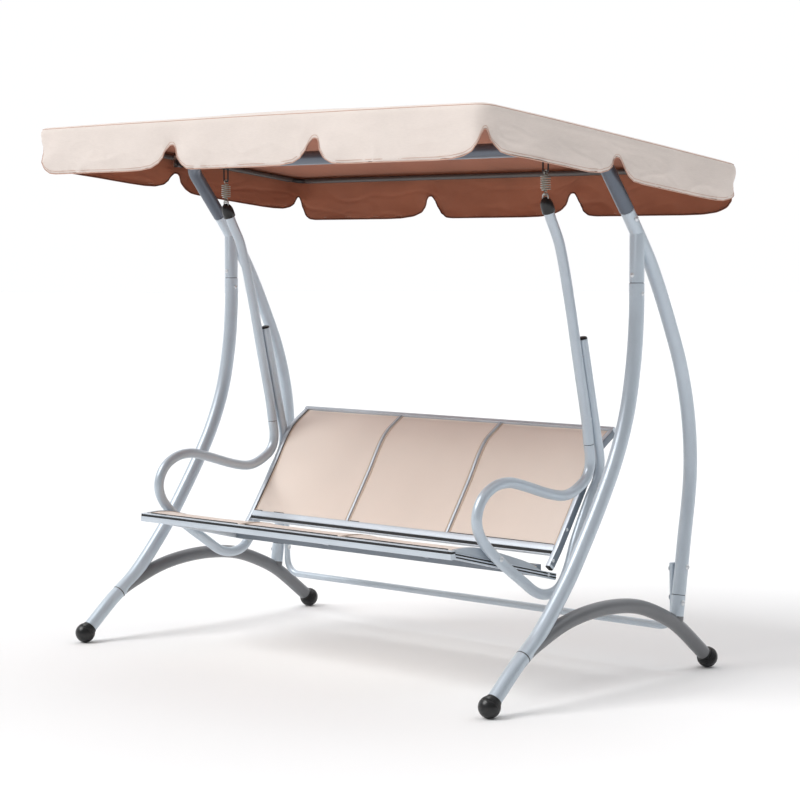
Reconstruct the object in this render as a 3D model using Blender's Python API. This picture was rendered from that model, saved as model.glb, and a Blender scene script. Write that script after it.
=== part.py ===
"""A garden swing bench: a stand of bent steel tube, a bench that hangs on two springs, a tilting canopy.

Metres, +Z up.  X runs along the bench, the front faces -Y, and the stand's feet rest on Z = 0.
Outlines are given in the side plane as (y, z) pairs.
"""

import math

import bmesh
import bpy
import numpy
from mathutils import Matrix, Vector
from mathutils.geometry import interpolate_bezier

GAP = 0.0003  # clearance between pieces that touch
LEAD = 0.002  # straight run that squares off the end of a curved tube

# Planes across the width
LEG_X = 0.885
HANGER_X = 0.6953
RAIL_X = 0.6785  # outer face of the seat and back frames
DIVIDER_X = 0.2207

# Tube and wire radii
LEG_RADIUS = 0.0222
REAR_RADIUS = 0.0212
BAR_RADIUS = 0.0225
HANGER_RADIUS = 0.016
BRACE_RADIUS = 0.012
CANOPY_TUBE_RADIUS = 0.009
EYE_RADIUS = 0.0025
SPRING_WIRE = 0.0018

# Feet
FOOT_RADIUS = 0.0325
FOOT_Z = 0.032  # a little under the radius, which leaves a small flat on the ground
FOOT_ENTRY = 0.0235  # distance from the ball's centre to the flat where the tube enters
FRONT_FOOT_Y = -0.480
REAR_FOOT_Y = 0.560

# Crossbar, and the chain of eye, spring and cap that hangs from it
BAR_Y = -0.012
BAR_Z = 1.597
BAR_BEND = 0.060
EYE_Z = 1.529
SWING_Z = 1.464
EYE_HALF_WIDTH = 0.010
SPRING_LOOP = 0.007
SPRING_CLEARANCE = 0.0015
COIL_RADIUS = 0.014
COIL_TURNS = 7
CAP_RADIUS = 0.020
CAP_TOP = 1.453
CAP_BOTTOM = 1.408

# Bench frame sections
RAIL_WIDTH = 0.016
SEAT_RAIL_DEPTH = 0.020
BACK_RAIL_DEPTH = 0.013
BACK_SIDE_DEPTH = 0.024
DIVIDER_WIDTH = 0.010
SEAT_FRONT = (-0.400, 0.4275)
SEAT_REAR = (0.065, 0.3165)
SEAT_ARCH = (
    (0.0, 0.004),
    (0.10, 0.019),
    (0.22, 0.029),
    (0.40, 0.028),
    (0.65, 0.020),
    (0.85, 0.012),
    (0.93, 0.005),
    (1.0, 0.003),
)
SLING_THICKNESS = 0.005
BACK_LINE = [(0.078, 0.399), (0.184, 0.559), (0.262, 0.680), (0.343, 0.7392)]

# Canopy
CANOPY_HALF_WIDTH = 0.9715
CANOPY_HALF_DEPTH = 0.600
CANOPY_EDGE_Z = 1.629  # height of the roof's edge above Y = 0
CANOPY_SLOPE = 0.113  # fall of the edge towards the back
CANOPY_CROWN = 0.0775
END_DROP = 0.153  # front and rear valances
SIDE_DROP = 0.128
END_NOTCHES = (-0.9715, -0.315, 0.315, 0.9715)
SIDE_NOTCHES = (-0.600, 0.0, 0.600)
NOTCH_TIP = 0.42
BROAD_CURVE = ((0.010, 0.0), (0.033, 0.49), (0.087, 0.90), (0.140, 1.0))
STEEP_CURVE = ((0.010, 0.0), (0.026, 0.46), (0.044, 0.78), (0.075, 1.0))
CLOTH = 0.003
PIVOT_RADIUS = 0.006
PIVOT_END = 0.9455
KNOB_RADIUS = 0.015


def clear_scene():
    for old in list(bpy.data.objects):
        bpy.data.objects.remove(old, do_unlink=True)


def material(name, colour, roughness, metallic=0.0):
    made = bpy.data.materials.new(name)
    made.use_nodes = True
    shader = made.node_tree.nodes["Principled BSDF"]
    shader.inputs["Base Color"].default_value = (*colour, 1.0)
    shader.inputs["Roughness"].default_value = roughness
    shader.inputs["Metallic"].default_value = metallic
    made.diffuse_color = (*colour, 1.0)
    return made


def add_object(name, mesh, look, location=(0, 0, 0)):
    made = bpy.data.objects.new(name, mesh)
    bpy.context.scene.collection.objects.link(made)
    made.location = location
    mesh.materials.append(material(name, *look))
    mesh.shade_smooth()
    mesh.set_sharp_from_angle(angle=math.radians(40))
    return made


def helper(name, mesh):
    """An object that only serves a Boolean."""
    made = bpy.data.objects.new(name, mesh)
    bpy.context.scene.collection.objects.link(made)
    made.hide_render = True
    made.display_type = "WIRE"
    return made


def boolean(target, tool, operation):
    modifier = target.modifiers.new(tool.name, "BOOLEAN")
    modifier.operation = operation
    modifier.object = tool
    modifier.solver = "EXACT"


def mesh_from(form, name):
    bmesh.ops.recalc_face_normals(form, faces=form.faces)
    mesh = bpy.data.meshes.new(name)
    form.to_mesh(mesh)
    form.free()
    return mesh


def in_plane(x, outline):
    return [Vector((x, y, z)) for y, z in outline]


def smooth_route(knots, steps):
    """Points along a smooth curve through the knots, with a short straight lead at each end."""
    padded = [2 * knots[0] - knots[1], *knots, 2 * knots[-1] - knots[-2]]
    headings = [(after - before).normalized() for before, after in zip(padded, padded[2:])]
    route = []
    for index, (start, end) in enumerate(zip(knots, knots[1:])):
        reach = (end - start).length / 3
        route += interpolate_bezier(
            start, start + headings[index] * reach, end - headings[index + 1] * reach, end, steps + 1
        )[:-1]
    first_lead = knots[0] + headings[0] * LEAD
    last_lead = knots[-1] - headings[-1] * LEAD
    return [knots[0], first_lead, *route[1:], last_lead, knots[-1]]


def bent_route(corners, radius, steps):
    """Straight runs between the corners, with an arc of the radius at each inner corner."""
    route = [corners[0]]
    for before, corner, after in zip(corners, corners[1:], corners[2:]):
        arrive = (corner - before).normalized()
        leave = (after - corner).normalized()
        turn = arrive.angle(leave)
        cut = radius * math.tan(turn / 2)
        centre = corner - arrive * cut + (leave - arrive * arrive.dot(leave)).normalized() * radius
        first = corner - arrive * cut - centre
        axis = arrive.cross(leave).normalized()
        for step in range(steps + 1):
            route.append(centre + Matrix.Rotation(turn * step / steps, 3, axis) @ first)
    return [*route, corners[-1]]


def tube_mesh(name, route, radius, sides):
    """A round bar swept along the route, with closed ends."""
    curve = bpy.data.curves.new(name, "CURVE")
    curve.dimensions = "3D"
    curve.bevel_depth = radius
    curve.bevel_resolution = (sides - 4) // 2
    curve.use_fill_caps = True
    spline = curve.splines.new("POLY")
    spline.points.add(len(route) - 1)
    for point, place in zip(spline.points, route):
        point.co = (*place, 1.0)
    holder = bpy.data.objects.new(name, curve)
    bpy.context.scene.collection.objects.link(holder)
    form = bmesh.new()
    form.from_mesh(bpy.data.meshes.new_from_object(holder))
    bpy.data.objects.remove(holder)
    bmesh.ops.remove_doubles(form, verts=form.verts, dist=0.00001)
    return mesh_from(form, name)


def tube(name, route, radius, look, sides=10):
    return add_object(name, tube_mesh(name, route, radius, sides), look)


def strip_mesh(name, line, thickness, left, right):
    """A flat bar that follows a line in the side plane, from one X to another."""
    line = [Vector(point) for point in line]
    above = []
    below = []
    for index, point in enumerate(line):
        heading = line[min(index + 1, len(line) - 1)] - line[max(index - 1, 0)]
        normal = Vector((-heading.y, heading.x)).normalized() * thickness / 2
        above.append(point + normal)
        below.append(point - normal)
    form = bmesh.new()
    corners = [form.verts.new((left, *point)) for point in [*above, *reversed(below)]]
    face = form.faces.new(corners)
    grown = bmesh.ops.extrude_face_region(form, geom=[face])["geom"]
    moved = [item for item in grown if isinstance(item, bmesh.types.BMVert)]
    bmesh.ops.translate(form, verts=moved, vec=(right - left, 0, 0))
    return mesh_from(form, name)


def strip(name, line, thickness, left, right, look):
    return add_object(name, strip_mesh(name, line, thickness, left, right), look)


def turned_mesh(name, profile, sides):
    """A solid of revolution about Z.  The profile is (radius, height) pairs that start and end on the axis."""
    form = bmesh.new()
    points = [form.verts.new((radius, 0, height)) for radius, height in profile]
    edges = [form.edges.new(pair) for pair in zip(points, points[1:])]
    bmesh.ops.spin(
        form, geom=[*points, *edges], axis=(0, 0, 1), cent=(0, 0, 0), angle=math.tau, steps=sides
    )
    bmesh.ops.remove_doubles(form, verts=form.verts, dist=0.00001)
    return mesh_from(form, name)


def bolt(name, place, side):
    """A round-headed bolt whose head faces outwards along X."""
    profile = [(0, 0), (0.0075, 0), (0.0070, 0.0025), (0.0040, 0.0045), (0, 0.0050)]
    made = add_object(name, turned_mesh(name, profile, 10), STEEL, place)
    made.rotation_euler = (0, side * math.pi / 2, 0)
    return made


def side_name(side):
    return "right" if side > 0 else "left"


PAINT = ((0.56, 0.61, 0.68), 0.32, 0.35)
DARK_PAINT = ((0.20, 0.22, 0.26), 0.40, 0.35)
BLACK = ((0.012, 0.012, 0.013), 0.45)
STEEL = ((0.62, 0.62, 0.63), 0.28, 1.0)
SLING = ((0.74, 0.66, 0.56), 0.85)
COVER = ((0.72, 0.62, 0.53), 0.9)

ARCH_LINE = [
    (-0.337, 0.151),
    (-0.250, 0.191),
    (-0.145, 0.226),
    (-0.030, 0.244),
    (0.090, 0.246),
    (0.200, 0.232),
    (0.300, 0.199),
    (0.400, 0.150),
]
FRONT_LEG_LINE = [
    (-0.335, 0.152),
    (-0.274, 0.198),
    (-0.190, 0.284),
    (-0.100, 0.394),
    (0.059, 0.634),
    (0.134, 0.799),
    (0.170, 0.960),
    (0.183, 1.100),
    (0.184, 1.2017),
]
REAR_LEG_LINE = [
    (0.4073, 0.2443),
    (0.431, 0.405),
    (0.460, 0.600),
    (0.454, 0.755),
    (0.422, 0.900),
    (0.374, 1.024),
    (0.259, 1.245),
    (0.150, 1.395),
    (0.134, 1.415),
]
HANGER_LINE = [(BAR_Y, 1.4077), (BAR_Y, 1.385), (0.052, 1.312), (0.106, 1.134), (0.147, 0.955)]
HANGER_END = [(0.1880, 0.780), (0.1994, 0.7087)]
LOOP_LINE = [
    (0.1995, 0.708),
    (0.2063, 0.664),
    (0.200, 0.626),
    (0.173, 0.594),
    (0.100, 0.564),
    (0.025, 0.570),
    (-0.106, 0.606),
    (-0.175, 0.621),
    (-0.240, 0.614),
    (-0.295, 0.580),
    (-0.318, 0.525),
    (-0.300, 0.470),
    (-0.232, 0.406),
    (-0.104, 0.318),
    (-0.045, 0.282),
    (0.010, 0.272),
    (0.062, 0.287),
    (0.103, 0.340),
    (0.137, 0.421),
    (0.205, 0.541),
    (0.245, 0.602),
    (0.253, 0.660),
    (0.236, 0.735),
    (0.2155, 0.821),
    (0.180, 0.970),
    (0.1655, 1.031),
]


def foot(name, x, y, towards):
    """A ball with a small flat on the ground and a flat where the tube enters."""
    form = bmesh.new()
    bmesh.ops.create_uvsphere(form, u_segments=14, v_segments=9, radius=FOOT_RADIUS)
    entry = Vector((0, *towards)).normalized()
    for point, normal in (((0, 0, -FOOT_Z), (0, 0, -1)), (entry * FOOT_ENTRY, entry)):
        everything = [*form.verts, *form.edges, *form.faces]
        cut = bmesh.ops.bisect_plane(
            form, geom=everything, plane_co=point, plane_no=normal, clear_outer=True
        )["geom_cut"]
        rim = [item for item in cut if isinstance(item, bmesh.types.BMEdge)]
        bmesh.ops.contextual_create(form, geom=rim)
    return add_object(name, mesh_from(form, name), BLACK, (x, y, FOOT_Z))


def stand_side(side):
    """One end of the stand: arch, feet and both legs."""
    x = side * LEG_X
    word = side_name(side)
    front = Vector((FRONT_FOOT_Y, FOOT_Z))
    rear = Vector((REAR_FOOT_Y, FOOT_Z))
    front_way = (Vector(ARCH_LINE[0]) - front).normalized()
    rear_way = (Vector(ARCH_LINE[-1]) - rear).normalized()
    start = front + front_way * (FOOT_ENTRY + 3 * GAP)
    finish = rear + rear_way * (FOOT_ENTRY + 3 * GAP)
    arch = tube(
        "base_arch_" + word,
        smooth_route(in_plane(x, [start, *ARCH_LINE, finish]), 3),
        LEG_RADIUS,
        PAINT,
        12,
    )
    stub = in_plane(x, [(0.378, 0.160), (0.4022, 0.2105), (0.4071, 0.2437)])
    boolean(arch, helper("rear_stub_" + word, tube_mesh("rear_stub", stub, REAR_RADIUS, 12)), "UNION")
    foot("foot_front_" + word, x, FRONT_FOOT_Y, front_way)
    foot("foot_rear_" + word, x, REAR_FOOT_Y, rear_way)

    leg_route = smooth_route(in_plane(x, FRONT_LEG_LINE), 3)
    leg = tube("front_leg_" + word, leg_route, LEG_RADIUS, PAINT, 12)
    arch_route = smooth_route(in_plane(x, [start, *ARCH_LINE]), 3)
    cutter = tube_mesh("arch_clearance", arch_route, LEG_RADIUS + 3 * GAP, 12)
    boolean(leg, helper("arch_clearance_" + word, cutter), "DIFFERENCE")

    rear_leg = tube(
        "rear_leg_" + word, smooth_route(in_plane(x, REAR_LEG_LINE), 3), REAR_RADIUS, PAINT, 12
    )
    sleeve = in_plane(x, [(0.184, 1.202), (0.184, 1.345)])
    boolean(
        rear_leg, helper("sleeve_" + word, tube_mesh("sleeve", sleeve, LEG_RADIUS - 0.0004, 12)), "UNION"
    )
    bolt("leg_bolt_" + word, (side * (LEG_X + REAR_RADIUS + GAP), 0.153, 1.391), side)


def crossbar():
    """The top bar, bent down and back at each end to the rear legs, with a pivot pin at each end."""
    top = Vector(REAR_LEG_LINE[-1])
    way = (top - Vector(REAR_LEG_LINE[-2])).normalized()
    lower = top + way * GAP * 2
    corners = [
        Vector((-LEG_X, *lower)),
        Vector((-LEG_X, BAR_Y, BAR_Z)),
        Vector((LEG_X, BAR_Y, BAR_Z)),
        Vector((LEG_X, *lower)),
    ]
    bar = tube("top_crossbar", bent_route(corners, BAR_BEND, 6), BAR_RADIUS, DARK_PAINT, 12)
    for side in (-1, 1):
        pin = [Vector((side * x, BAR_Y, BAR_Z)) for x in (0.840, PIVOT_END)]
        word = side_name(side)
        tool = helper("pivot_pin_" + word, tube_mesh("pivot_pin", pin, PIVOT_RADIUS, 12))
        boolean(bar, tool, "UNION")


def brace(side, meet):
    """Half of the low rear brace.  Its end turns up beside the rear leg and is pressed flat."""
    word = side_name(side)
    upright_x = side * 0.8565
    corners = [
        Vector((meet, 0.430, 0.139)),
        Vector((side * 0.815, 0.430, 0.139)),
        Vector((upright_x, 0.402, 0.215)),
        Vector((upright_x, 0.417, 0.340)),
    ]
    made = tube("lower_brace_" + word, bent_route(corners, 0.035, 4), BRACE_RADIUS, PAINT, 8)
    for vertex in made.data.vertices:
        pressed = min(max((vertex.co.z - 0.160) / 0.045, 0), 1)
        vertex.co.x = upright_x + (vertex.co.x - upright_x) * (1 - 0.62 * pressed)
    return made


def wire_staple(name, x, ends_z, bar_z, radius, look):
    """A U of wire in the front plane, with its bar along X."""
    corners = [
        Vector((x - EYE_HALF_WIDTH, BAR_Y, ends_z)),
        Vector((x - EYE_HALF_WIDTH, BAR_Y, bar_z)),
        Vector((x + EYE_HALF_WIDTH, BAR_Y, bar_z)),
        Vector((x + EYE_HALF_WIDTH, BAR_Y, ends_z)),
    ]
    return tube_mesh(name, bent_route(corners, 0.004, 3), radius, 8)


def spring_route(x):
    """The wire of a spring: a loop round the upper bar, the coil, and a loop round the lower bar."""
    offset = EYE_RADIUS + SPRING_WIRE + SPRING_CLEARANCE
    upper = EYE_Z + offset - SPRING_LOOP
    lower = SWING_Z - offset + SPRING_LOOP
    top = upper - SPRING_LOOP - 0.004
    bottom = lower + SPRING_LOOP + 0.004
    open_angle = math.radians(-30)
    route = []
    for step in range(13):
        angle = open_angle + (math.radians(270) - open_angle) * step / 12
        route.append((x, BAR_Y + SPRING_LOOP * math.cos(angle), upper + SPRING_LOOP * math.sin(angle)))
    per_turn = 10
    for step in range(COIL_TURNS * per_turn + 1):
        angle = math.tau * step / per_turn
        z = top + (bottom - top) * step / (COIL_TURNS * per_turn)
        route.append((x + COIL_RADIUS * math.sin(angle), BAR_Y + COIL_RADIUS * math.cos(angle), z))
    for step in range(13):
        angle = math.radians(90) + (math.radians(-210) - math.radians(90)) * step / 12
        turned = (BAR_Y - SPRING_LOOP * math.cos(angle), lower + SPRING_LOOP * math.sin(angle))
        route.append((x, *turned))
    return [Vector(point) for point in route]


def suspension(side):
    """Eye, spring, cap and hanger on one side."""
    x = side * HANGER_X
    word = side_name(side)
    eye = wire_staple("spring_eye_" + word, x, BAR_Z - BAR_RADIUS - GAP, EYE_Z, EYE_RADIUS, BLACK)
    add_object("spring_eye_" + word, eye, BLACK)
    spring = tube("spring_" + word, spring_route(x), SPRING_WIRE, STEEL, 6)
    profile = [
        (0, 0),
        (CAP_RADIUS, 0),
        (CAP_RADIUS, 0.036),
        (0.0175, 0.043),
        (0.012, CAP_TOP - CAP_BOTTOM),
        (0, CAP_TOP - CAP_BOTTOM),
    ]
    cap = add_object("hanger_cap_" + word, turned_mesh("cap", profile, 14), BLACK, (x, BAR_Y, CAP_BOTTOM))
    ring = helper(
        "cap_ring_" + word, wire_staple("cap_ring", x, CAP_TOP - 0.008, SWING_Z, EYE_RADIUS, STEEL)
    )
    boolean(cap, ring, "UNION")
    line = [*HANGER_LINE, *HANGER_END]
    hanger = tube("hanger_" + word, smooth_route(in_plane(x, line), 3), HANGER_RADIUS, PAINT)
    return spring, [cap, hanger]


def armrest_loop(side):
    """The closed loop of tube that is armrest, seat support and back support in one."""
    word = side_name(side)
    x = side * HANGER_X
    loop = tube("armrest_loop_" + word, smooth_route(in_plane(x, LOOP_LINE), 3), HANGER_RADIUS, PAINT)
    end = Vector((x, *LOOP_LINE[-1]))
    way = (end - Vector((x, *LOOP_LINE[-2]))).normalized()
    profile = [(0, 0), (0.0155, 0), (0.0155, 0.004), (0.010, 0.007), (0, 0.008)]
    plug = add_object("loop_plug_" + word, turned_mesh("plug", profile, 10), BLACK, end + way * GAP)
    plug.rotation_euler = Vector((0, 0, 1)).rotation_difference(way).to_euler()
    made = [loop, plug]
    outer = side * (HANGER_X + HANGER_RADIUS + GAP)
    for purpose, y, z in (("seat", -0.226, 0.402), ("back", 0.234, 0.583), ("hanger", 0.1975, 0.895)):
        made.append(bolt(purpose + "_bolt_" + word, (outer, y, z), side))
    return made


def seat_line(y):
    """Height of the middle of the seat frame."""
    share = (y - SEAT_FRONT[0]) / (SEAT_REAR[0] - SEAT_FRONT[0])
    return SEAT_FRONT[1] + (SEAT_REAR[1] - SEAT_FRONT[1]) * share


def panels():
    """The (name, left, right) of the three panels between the side rails and the dividers."""
    inner = DIVIDER_X - DIVIDER_WIDTH / 2 - 2 * GAP
    outer = DIVIDER_X + DIVIDER_WIDTH / 2 + 2 * GAP
    edge = RAIL_X - RAIL_WIDTH - 2 * GAP
    return (("left", -edge, -outer), ("middle", -inner, inner), ("right", outer, edge))


def seat_top(y):
    """Height of the arched upper edge of the seat's side rails, which the slings follow."""
    share = (y - SEAT_FRONT[0]) / (SEAT_REAR[0] - SEAT_FRONT[0])
    shares, rises = zip(*SEAT_ARCH)
    return seat_line(y) + SEAT_RAIL_DEPTH / 2 + float(numpy.interp(share, shares, rises))


def side_plate(name, lower, upper, left, right):
    """A plate in the side plane between two lines of (y, z) points, both running backwards."""
    form = bmesh.new()
    outline = [*lower, *reversed(upper)]
    near = [form.verts.new((left, y, z)) for y, z in outline]
    far = [form.verts.new((right, y, z)) for y, z in outline]
    for index in range(len(outline)):
        after = (index + 1) % len(outline)
        form.faces.new([near[index], near[after], far[after], far[index]])
    form.faces.new(near)
    form.faces.new(list(reversed(far)))
    bmesh.ops.recalc_face_normals(form, faces=form.faces)
    return add_object(name, mesh_from(form, name), PAINT)


def seat():
    start = -0.391 + 0.003
    rear_start = -0.0055
    rear_end = 0.0145
    rim = RAIL_X - RAIL_WIDTH - GAP
    front_rail = [(-0.411, 0.4275), (-0.391, 0.4275)]
    made = [strip("seat_front_rail", front_rail, 0.025, -RAIL_X, RAIL_X, PAINT)]
    rear_rail = [(y, seat_line(y) + 0.010) for y in (rear_start, rear_end)]
    made.append(strip("seat_rear_rail", rear_rail, 0.036, -rim, rim, PAINT))
    side_ys = [start + (SEAT_REAR[0] - start) * step / 16 for step in range(17)]
    lower = [(y, seat_line(y) - SEAT_RAIL_DEPTH / 2) for y in (side_ys[0], side_ys[-1])]
    upper = [(y, seat_top(y)) for y in side_ys]
    sling_ys = [start + GAP + (rear_start - start - 5 * GAP) * step / 12 for step in range(13)]
    sling_line = [(y, seat_top(y) - 0.004) for y in sling_ys]
    divider_line = [(y, seat_top(y) - 0.008) for y in sling_ys]
    for side in (-1, 1):
        word = side_name(side)
        xs = sorted((side * RAIL_X, side * (RAIL_X - RAIL_WIDTH)))
        made.append(side_plate("seat_side_rail_" + word, lower, upper, *xs))
        xs = (side * DIVIDER_X - DIVIDER_WIDTH / 2, side * DIVIDER_X + DIVIDER_WIDTH / 2)
        made.append(strip("seat_divider_" + word, divider_line, 0.016, *xs, PAINT))
    for word, left, right in panels():
        made.append(strip("seat_sling_" + word, sling_line, SLING_THICKNESS, left, right, SLING))
    return made


def set_back(line, distance):
    """The line moved square to itself, away from the sitter."""
    points = [Vector(point) for point in line]
    moved = []
    for index, point in enumerate(points):
        heading = points[min(index + 1, len(points) - 1)] - points[max(index - 1, 0)]
        moved.append(point + Vector((heading.y, -heading.x)).normalized() * distance)
    return moved


def backrest():
    line = smooth_route(in_plane(0, BACK_LINE), 3)
    frame_line = [(point.y, point.z) for point in line]
    end = Vector(frame_line[-1])
    way = (end - Vector(frame_line[-2])).normalized()
    rise = (Vector(BACK_LINE[1]) - Vector(BACK_LINE[0])).normalized()
    rim = RAIL_X - RAIL_WIDTH - GAP
    low = Vector(BACK_LINE[0])
    top_rail = [end + way * 2 * GAP, end + way * 0.0135]
    low_rail = [low - rise * 0.0105, low + rise * 0.0105]
    made = [
        strip("back_top_rail", top_rail, 0.015, -RAIL_X, RAIL_X, PAINT),
        strip("back_lower_rail", low_rail, BACK_RAIL_DEPTH, -rim, rim, PAINT),
    ]
    divider_line = [low + rise * (0.0105 + 2 * GAP), *frame_line[2:]]
    for side in (-1, 1):
        word = side_name(side)
        xs = sorted((side * RAIL_X, side * (RAIL_X - RAIL_WIDTH)))
        rail_line = set_back([(0.039, 0.349), *frame_line], (BACK_SIDE_DEPTH - BACK_RAIL_DEPTH) / 2)
        made.append(strip("back_side_rail_" + word, rail_line, BACK_SIDE_DEPTH, *xs, PAINT))
        xs = (side * DIVIDER_X - DIVIDER_WIDTH / 2, side * DIVIDER_X + DIVIDER_WIDTH / 2)
        made.append(strip("back_divider_" + word, divider_line, 0.011, *xs, PAINT))
    for word, left, right in panels():
        made.append(strip("back_sling_" + word, divider_line, SLING_THICKNESS, left, right, SLING))
    return made


def edge_height(y):
    return CANOPY_EDGE_Z - CANOPY_SLOPE * y


def roof_height(x, y):
    across = 1 - (x / CANOPY_HALF_WIDTH) ** 2
    along = 1 - (y / CANOPY_HALF_DEPTH) ** 2
    return edge_height(y) + CANOPY_CROWN * across * along


def scallop_share(position, notches):
    """How much of the full drop the valance hangs at a position along its side."""
    lowest = 1.0
    for notch in notches:
        knots = STEEP_CURVE if position >= notch else BROAD_CURVE
        reaches, shares = zip(*knots)
        lowest = min(lowest, float(numpy.interp(abs(position - notch), reaches, shares)))
    return NOTCH_TIP + (1 - NOTCH_TIP) * lowest


def stations(half, notches, between):
    """Positions along a side: its ends, each notch's curve and a few in the open stretches."""
    found = {-half, half, *between}
    for notch in notches:
        found |= {notch - reach for reach, _ in BROAD_CURVE}
        found |= {notch + reach for reach, _ in STEEP_CURVE}
    return sorted({round(place, 4) for place in found if abs(place) <= half})


def edge_columns(xs, ys):
    """(x, y, drop) round the canopy's edge, where the drop follows the scallops."""
    front = [(x, ys[0], END_DROP * scallop_share(x, END_NOTCHES)) for x in xs]
    rear = [(x, ys[-1], drop) for x, _, drop in reversed(front)]
    right = [(xs[-1], y, SIDE_DROP * scallop_share(y, SIDE_NOTCHES)) for y in ys[1:-1]]
    left = [(xs[0], y, drop) for _, y, drop in reversed(right)]
    return [*front, *right, *rear, *left]


def canopy_cover():
    """The cloth cover: a crowned roof with a scalloped valance on all four sides."""
    xs = stations(CANOPY_HALF_WIDTH, END_NOTCHES, (-0.75, -0.60, -0.04, 0.08, 0.53, 0.68))
    ys = stations(CANOPY_HALF_DEPTH, SIDE_NOTCHES, (-0.40, -0.27, 0.20, 0.33))
    form = bmesh.new()
    grid = {(x, y): form.verts.new((x, y, roof_height(x, y))) for x in xs for y in ys}
    for x0, x1 in zip(xs, xs[1:]):
        for y0, y1 in zip(ys, ys[1:]):
            form.faces.new([grid[x0, y0], grid[x1, y0], grid[x1, y1], grid[x0, y1]])
    columns = []
    for x, y, drop in edge_columns(xs, ys):
        hanging = [form.verts.new((x, y, edge_height(y) - drop * row / 3)) for row in (1, 2, 3)]
        columns.append([grid[x, y], *hanging])
    for column, after in zip(columns, [*columns[1:], columns[0]]):
        for row in range(3):
            form.faces.new([column[row], after[row], after[row + 1], column[row + 1]])
    cover = add_object("canopy_cover", mesh_from(form, "canopy_cover"), COVER)
    thick = cover.modifiers.new("cloth", "SOLIDIFY")
    thick.thickness = CLOTH
    thick.offset = -1
    return cover


def canopy_frame():
    """Four tubes under the edge of the cover, and the two brackets that carry them."""
    drop = CLOTH + CANOPY_TUBE_RADIUS + 0.003
    side_x = CANOPY_HALF_WIDTH - CLOTH - CANOPY_TUBE_RADIUS - 0.004
    end_y = CANOPY_HALF_DEPTH - CLOTH - CANOPY_TUBE_RADIUS - 0.004
    inner_x = side_x - CANOPY_TUBE_RADIUS - GAP
    made = []
    for word, y in (("front", -end_y), ("rear", end_y)):
        route = [Vector((x, y, edge_height(y) - drop)) for x in (-inner_x, inner_x)]
        made.append(tube("canopy_tube_" + word, route, CANOPY_TUBE_RADIUS, PAINT, 8))
    for side in (-1, 1):
        word = side_name(side)
        reach = end_y + CANOPY_TUBE_RADIUS
        route = [Vector((side * side_x, y, edge_height(y) - drop)) for y in (-reach, reach)]
        made.append(tube("canopy_tube_" + word, route, CANOPY_TUBE_RADIUS, PAINT, 8))
        outer = inner_x
        xs = sorted((side * (outer - 0.004), side * outer))
        plate_line = [(BAR_Y, BAR_Z - 0.014), (BAR_Y, BAR_Z + 0.024)]
        plate = strip("tilt_bracket_" + word, plate_line, 0.030, *xs, STEEL)
        hole = [Vector((side * x, BAR_Y, BAR_Z)) for x in (0.920, 0.960)]
        cutter = tube_mesh("bracket_hole", hole, PIVOT_RADIUS + 0.0008, 12)
        boolean(plate, helper("bracket_hole_" + word, cutter), "DIFFERENCE")
        made.append(plate)
    return made


def knob(side):
    """A lobed clamping knob on the pivot pin, inside the bracket."""
    word = side_name(side)
    form = bmesh.new()
    count = 20
    rim = []
    for step in range(count):
        radius = KNOB_RADIUS * (1 + 0.06 * math.cos(5 * math.tau * step / count))
        angle = math.tau * step / count
        rim.append(form.verts.new((0, radius * math.cos(angle), radius * math.sin(angle))))
    face = form.faces.new(rim)
    grown = bmesh.ops.extrude_face_region(form, geom=[face])["geom"]
    moved = [item for item in grown if isinstance(item, bmesh.types.BMVert)]
    bmesh.ops.translate(form, verts=moved, vec=(0.014, 0, 0))
    place = Vector((side * 0.9245 - 0.007, BAR_Y, BAR_Z))
    made = add_object("tilt_knob_" + word, mesh_from(form, "knob"), BLACK, place)
    bore = [Vector((side * x, BAR_Y, BAR_Z)) for x in (0.900, 0.945)]
    cutter = tube_mesh("knob_bore", bore, PIVOT_RADIUS + 0.0008, 12)
    boolean(made, helper("knob_bore_" + word, cutter), "DIFFERENCE")
    return made


def hang_from(name, place, pieces):
    """Parents the pieces to an empty on their joint's axis, and leaves them where they are."""
    axis = bpy.data.objects.new(name, None)
    bpy.context.scene.collection.objects.link(axis)
    axis.location = place
    bpy.context.view_layer.update()
    for piece in pieces:
        piece.parent = axis
        piece.matrix_parent_inverse = axis.matrix_world.inverted()
    return axis


def main():
    clear_scene()
    crossbar()
    brace(-1, -0.044 - GAP)
    brace(1, -0.044)
    springs = []
    bench = [*seat(), *backrest()]
    for side in (-1, 1):
        stand_side(side)
        spring, hung = suspension(side)
        springs.append(spring)
        bench += hung + armrest_loop(side)
    canopy = [canopy_cover(), *canopy_frame()]
    hang_from("spring_axis", (0, BAR_Y, EYE_Z), springs)
    hang_from("swing_axis", (0, BAR_Y, SWING_Z), bench)
    hang_from("canopy_axis", (0, BAR_Y, BAR_Z), canopy)
    for side in (-1, 1):
        hang_from("knob_axis_" + side_name(side), (side * LEG_X, BAR_Y, BAR_Z), [knob(side)])


main()
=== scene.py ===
"""Looks for the canopy swing bench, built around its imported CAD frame.

Metres, +Z up, the front faces -Y.  Outlines in the side plane are (y, z) pairs, as in part.py.
"""

import math

import bmesh
import bpy
from mathutils import Matrix, Vector, noise
from mathutils.geometry import interpolate_bezier


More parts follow.
